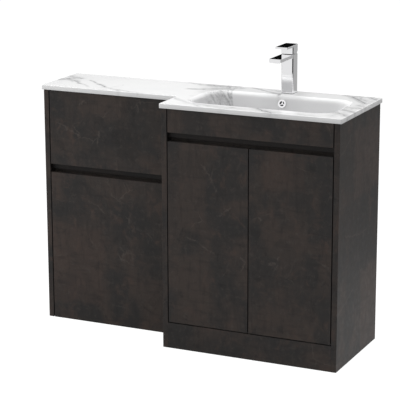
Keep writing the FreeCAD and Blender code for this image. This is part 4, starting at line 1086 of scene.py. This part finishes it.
def build_waste_thread(form):
    """The thread that shows between the waste's two nuts."""
    low, _, height = node_size("trap_inlet_nut")
    high = node_size("waste_nut")[0]
    build_thread(form, low.xy, TAIL_RADIUS, low.z + height, high.z, WASTE_PITCH, WASTE_CREST)


def build_stud_thread(form):
    """The thread that shows under the tap's nut."""
    foot = node_size("tap_clamp_stud")[0]
    nut_foot = node_size("tap_clamp_nut")[0]
    build_thread(form, foot.xy, STUD_RADIUS, foot.z, nut_foot.z, STUD_PITCH, STUD_CREST)


def build_grid(form):
    """Rings across the aerator's mouth, with spokes lying on them."""
    foot = node_size("tap_aerator")[0]
    place = Matrix.Translation(foot + Vector((0, 0, GRID_SINK)))
    for radius in GRID_RINGS:
        outer = radius + GRID_BAR
        rows = [(radius, 0, 0), (outer, 0, 0), (outer, GRID_BAR, 0), (radius, GRID_BAR, 0)]
        turned(form, place, rows, ROUND_STEPS, hollow=True)
    start = GRID_RINGS[0]
    middle = Matrix.Translation(((start + AERATOR_BORE) / 2, 0, GRID_BAR + GRID_BAR / 2))
    sides = Matrix.Diagonal((AERATOR_BORE - start, GRID_BAR, GRID_BAR, 1))
    for spoke in range(GRID_SPOKES):
        turn = Matrix.Rotation(2 * math.pi * spoke / GRID_SPOKES, 4, "Z")
        bmesh.ops.create_cube(form, size=1.0, matrix=place @ turn @ middle @ sides)


# The nodes' finishes

# Laminated boards; the place in the list sets the figure of each board's laminate
LAMINATE_NODES = [
    "vanity_bottom_panel", "vanity_plinth", "vanity_front_rail", "vanity_finger_strip", "vanity_fascia",
    "vanity_upper_back_rail", "vanity_lower_back_rail", "vanity_shelf", "door_left", "door_right",
    "wc_front_rail", "wc_finger_strip", "wc_upper_back_rail", "wc_lower_back_rail", "wc_lower_battens",
    "wc_upper_battens", "wc_lower_panel", "wc_upper_panel", "vanity_side_left", "vanity_side_right",
    "wc_side_left", "wc_side_right",
]

# Edges sharper than an angle are eased, after faces in one plane have been joined up
EASED_WIDTH = 0.0007
EASED_STEPS = 3
EASED_ANGLE = math.radians(40)
FLAT_ANGLE = math.radians(0.5)
FACE_WEIGHT = 100


def finish_node(name, material):
    """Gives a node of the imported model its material."""
    mesh = frame["nodes"][name].data
    mesh.materials.clear()
    mesh.materials.append(material)


def ease_edges(name):
    """Takes the sharpness off a piece's edges: its faces are joined up, then bevelled."""
    modifiers = frame["nodes"][name].modifiers
    weld = modifiers.new("joined_corners", "WELD")
    weld.merge_threshold = JOIN_REACH
    flat = modifiers.new("whole_faces", "DECIMATE")
    flat.decimate_type = "DISSOLVE"
    flat.angle_limit = FLAT_ANGLE
    bevel = modifiers.new("eased_edges", "BEVEL")
    bevel.width = EASED_WIDTH
    bevel.segments = EASED_STEPS
    bevel.limit_method = "ANGLE"
    bevel.angle_limit = EASED_ANGLE
    bevel.use_clamp_overlap = False
    shading = modifiers.new("flat_faces", "WEIGHTED_NORMAL")
    shading.weight = FACE_WEIGHT


for name in ("tap_body", "tap_lever"):
    ease_edges(name)
for number, name in enumerate(LAMINATE_NODES):
    finish_node(name, laminate(name, number))
    ease_edges(name)
SLOT_FINISHES = {
    "chrome": chrome(),
    "marble_cast": marble(),
    "steel": drawn_metal("nickel_steel", NICKEL_DARK, NICKEL_LIGHT, stretch=12, scale=160.0, roughness=0.24),
    "brass": drawn_metal("machined_brass", BRASS_DARK, BRASS_LIGHT, stretch=20, scale=180.0, roughness=0.22),
    "dowel_wood": beech(),
    "rubber": plastic("black_rubber", RUBBER_LIGHT, RUBBER_DARK, roughness=0.62),
    "white_plastic": plastic("white_plastic", WHITE_PLASTIC_LIGHT, WHITE_PLASTIC_DARK, roughness=0.28),
    "grey_plastic": plastic("grey_plastic", GREY_PLASTIC_LIGHT, GREY_PLASTIC_DARK, roughness=0.42),
}
for row in frame["record"]["subparts"]:
    if row["material_slot"] in SLOT_FINISHES:
        finish_node(row["node"], SLOT_FINISHES[row["material_slot"]])

add_piece("overflow_spider", "carcass", "chrome", None, build_spider)
# The sleeve's closed black cup is painted shade for the overflow's duct
add_piece("overflow_shade_sleeve", "carcass", "rubber", None, build_shade_sleeve)
add_piece("aerator_grid", "carcass", "grey_plastic", None, build_grid)
add_piece("waste_thread", "carcass", "chrome", None, build_waste_thread)
add_piece("stud_thread", "carcass", "steel", None, build_stud_thread)
add_piece("ribbed_trap_cup", "carcass", "white_plastic", "trap_cup", build_cup)
for name in ("waste_nut", "trap_inlet_nut"):
    add_piece("ribbed_" + name, "carcass", "white_plastic", name, build_nut, name)
for name, directions in SCREW_SETS.items():
    details = (name, directions, SCREW_HEAD, SCREW_SHANK, cross_outline)
    add_piece("recessed_" + name, "carcass", "steel", name, build_fasteners, *details)
bolts = "unit_joining_bolts"
details = (bolts, [LEFT, RIGHT], BOLT_HEAD, BOLT_SHANK, hexagon_outline)
add_piece("socket_joining_bolts", "carcass", "steel", bolts, build_fasteners, *details)

make_camera()
make_world()
make_floor()
for name, settings in DARK_CARDS.items():
    dark_card(name, **settings)
for name, settings in SOFTBOXES.items():
    softbox(name, **settings)
bpy.context.scene.view_settings.view_transform = "Standard"
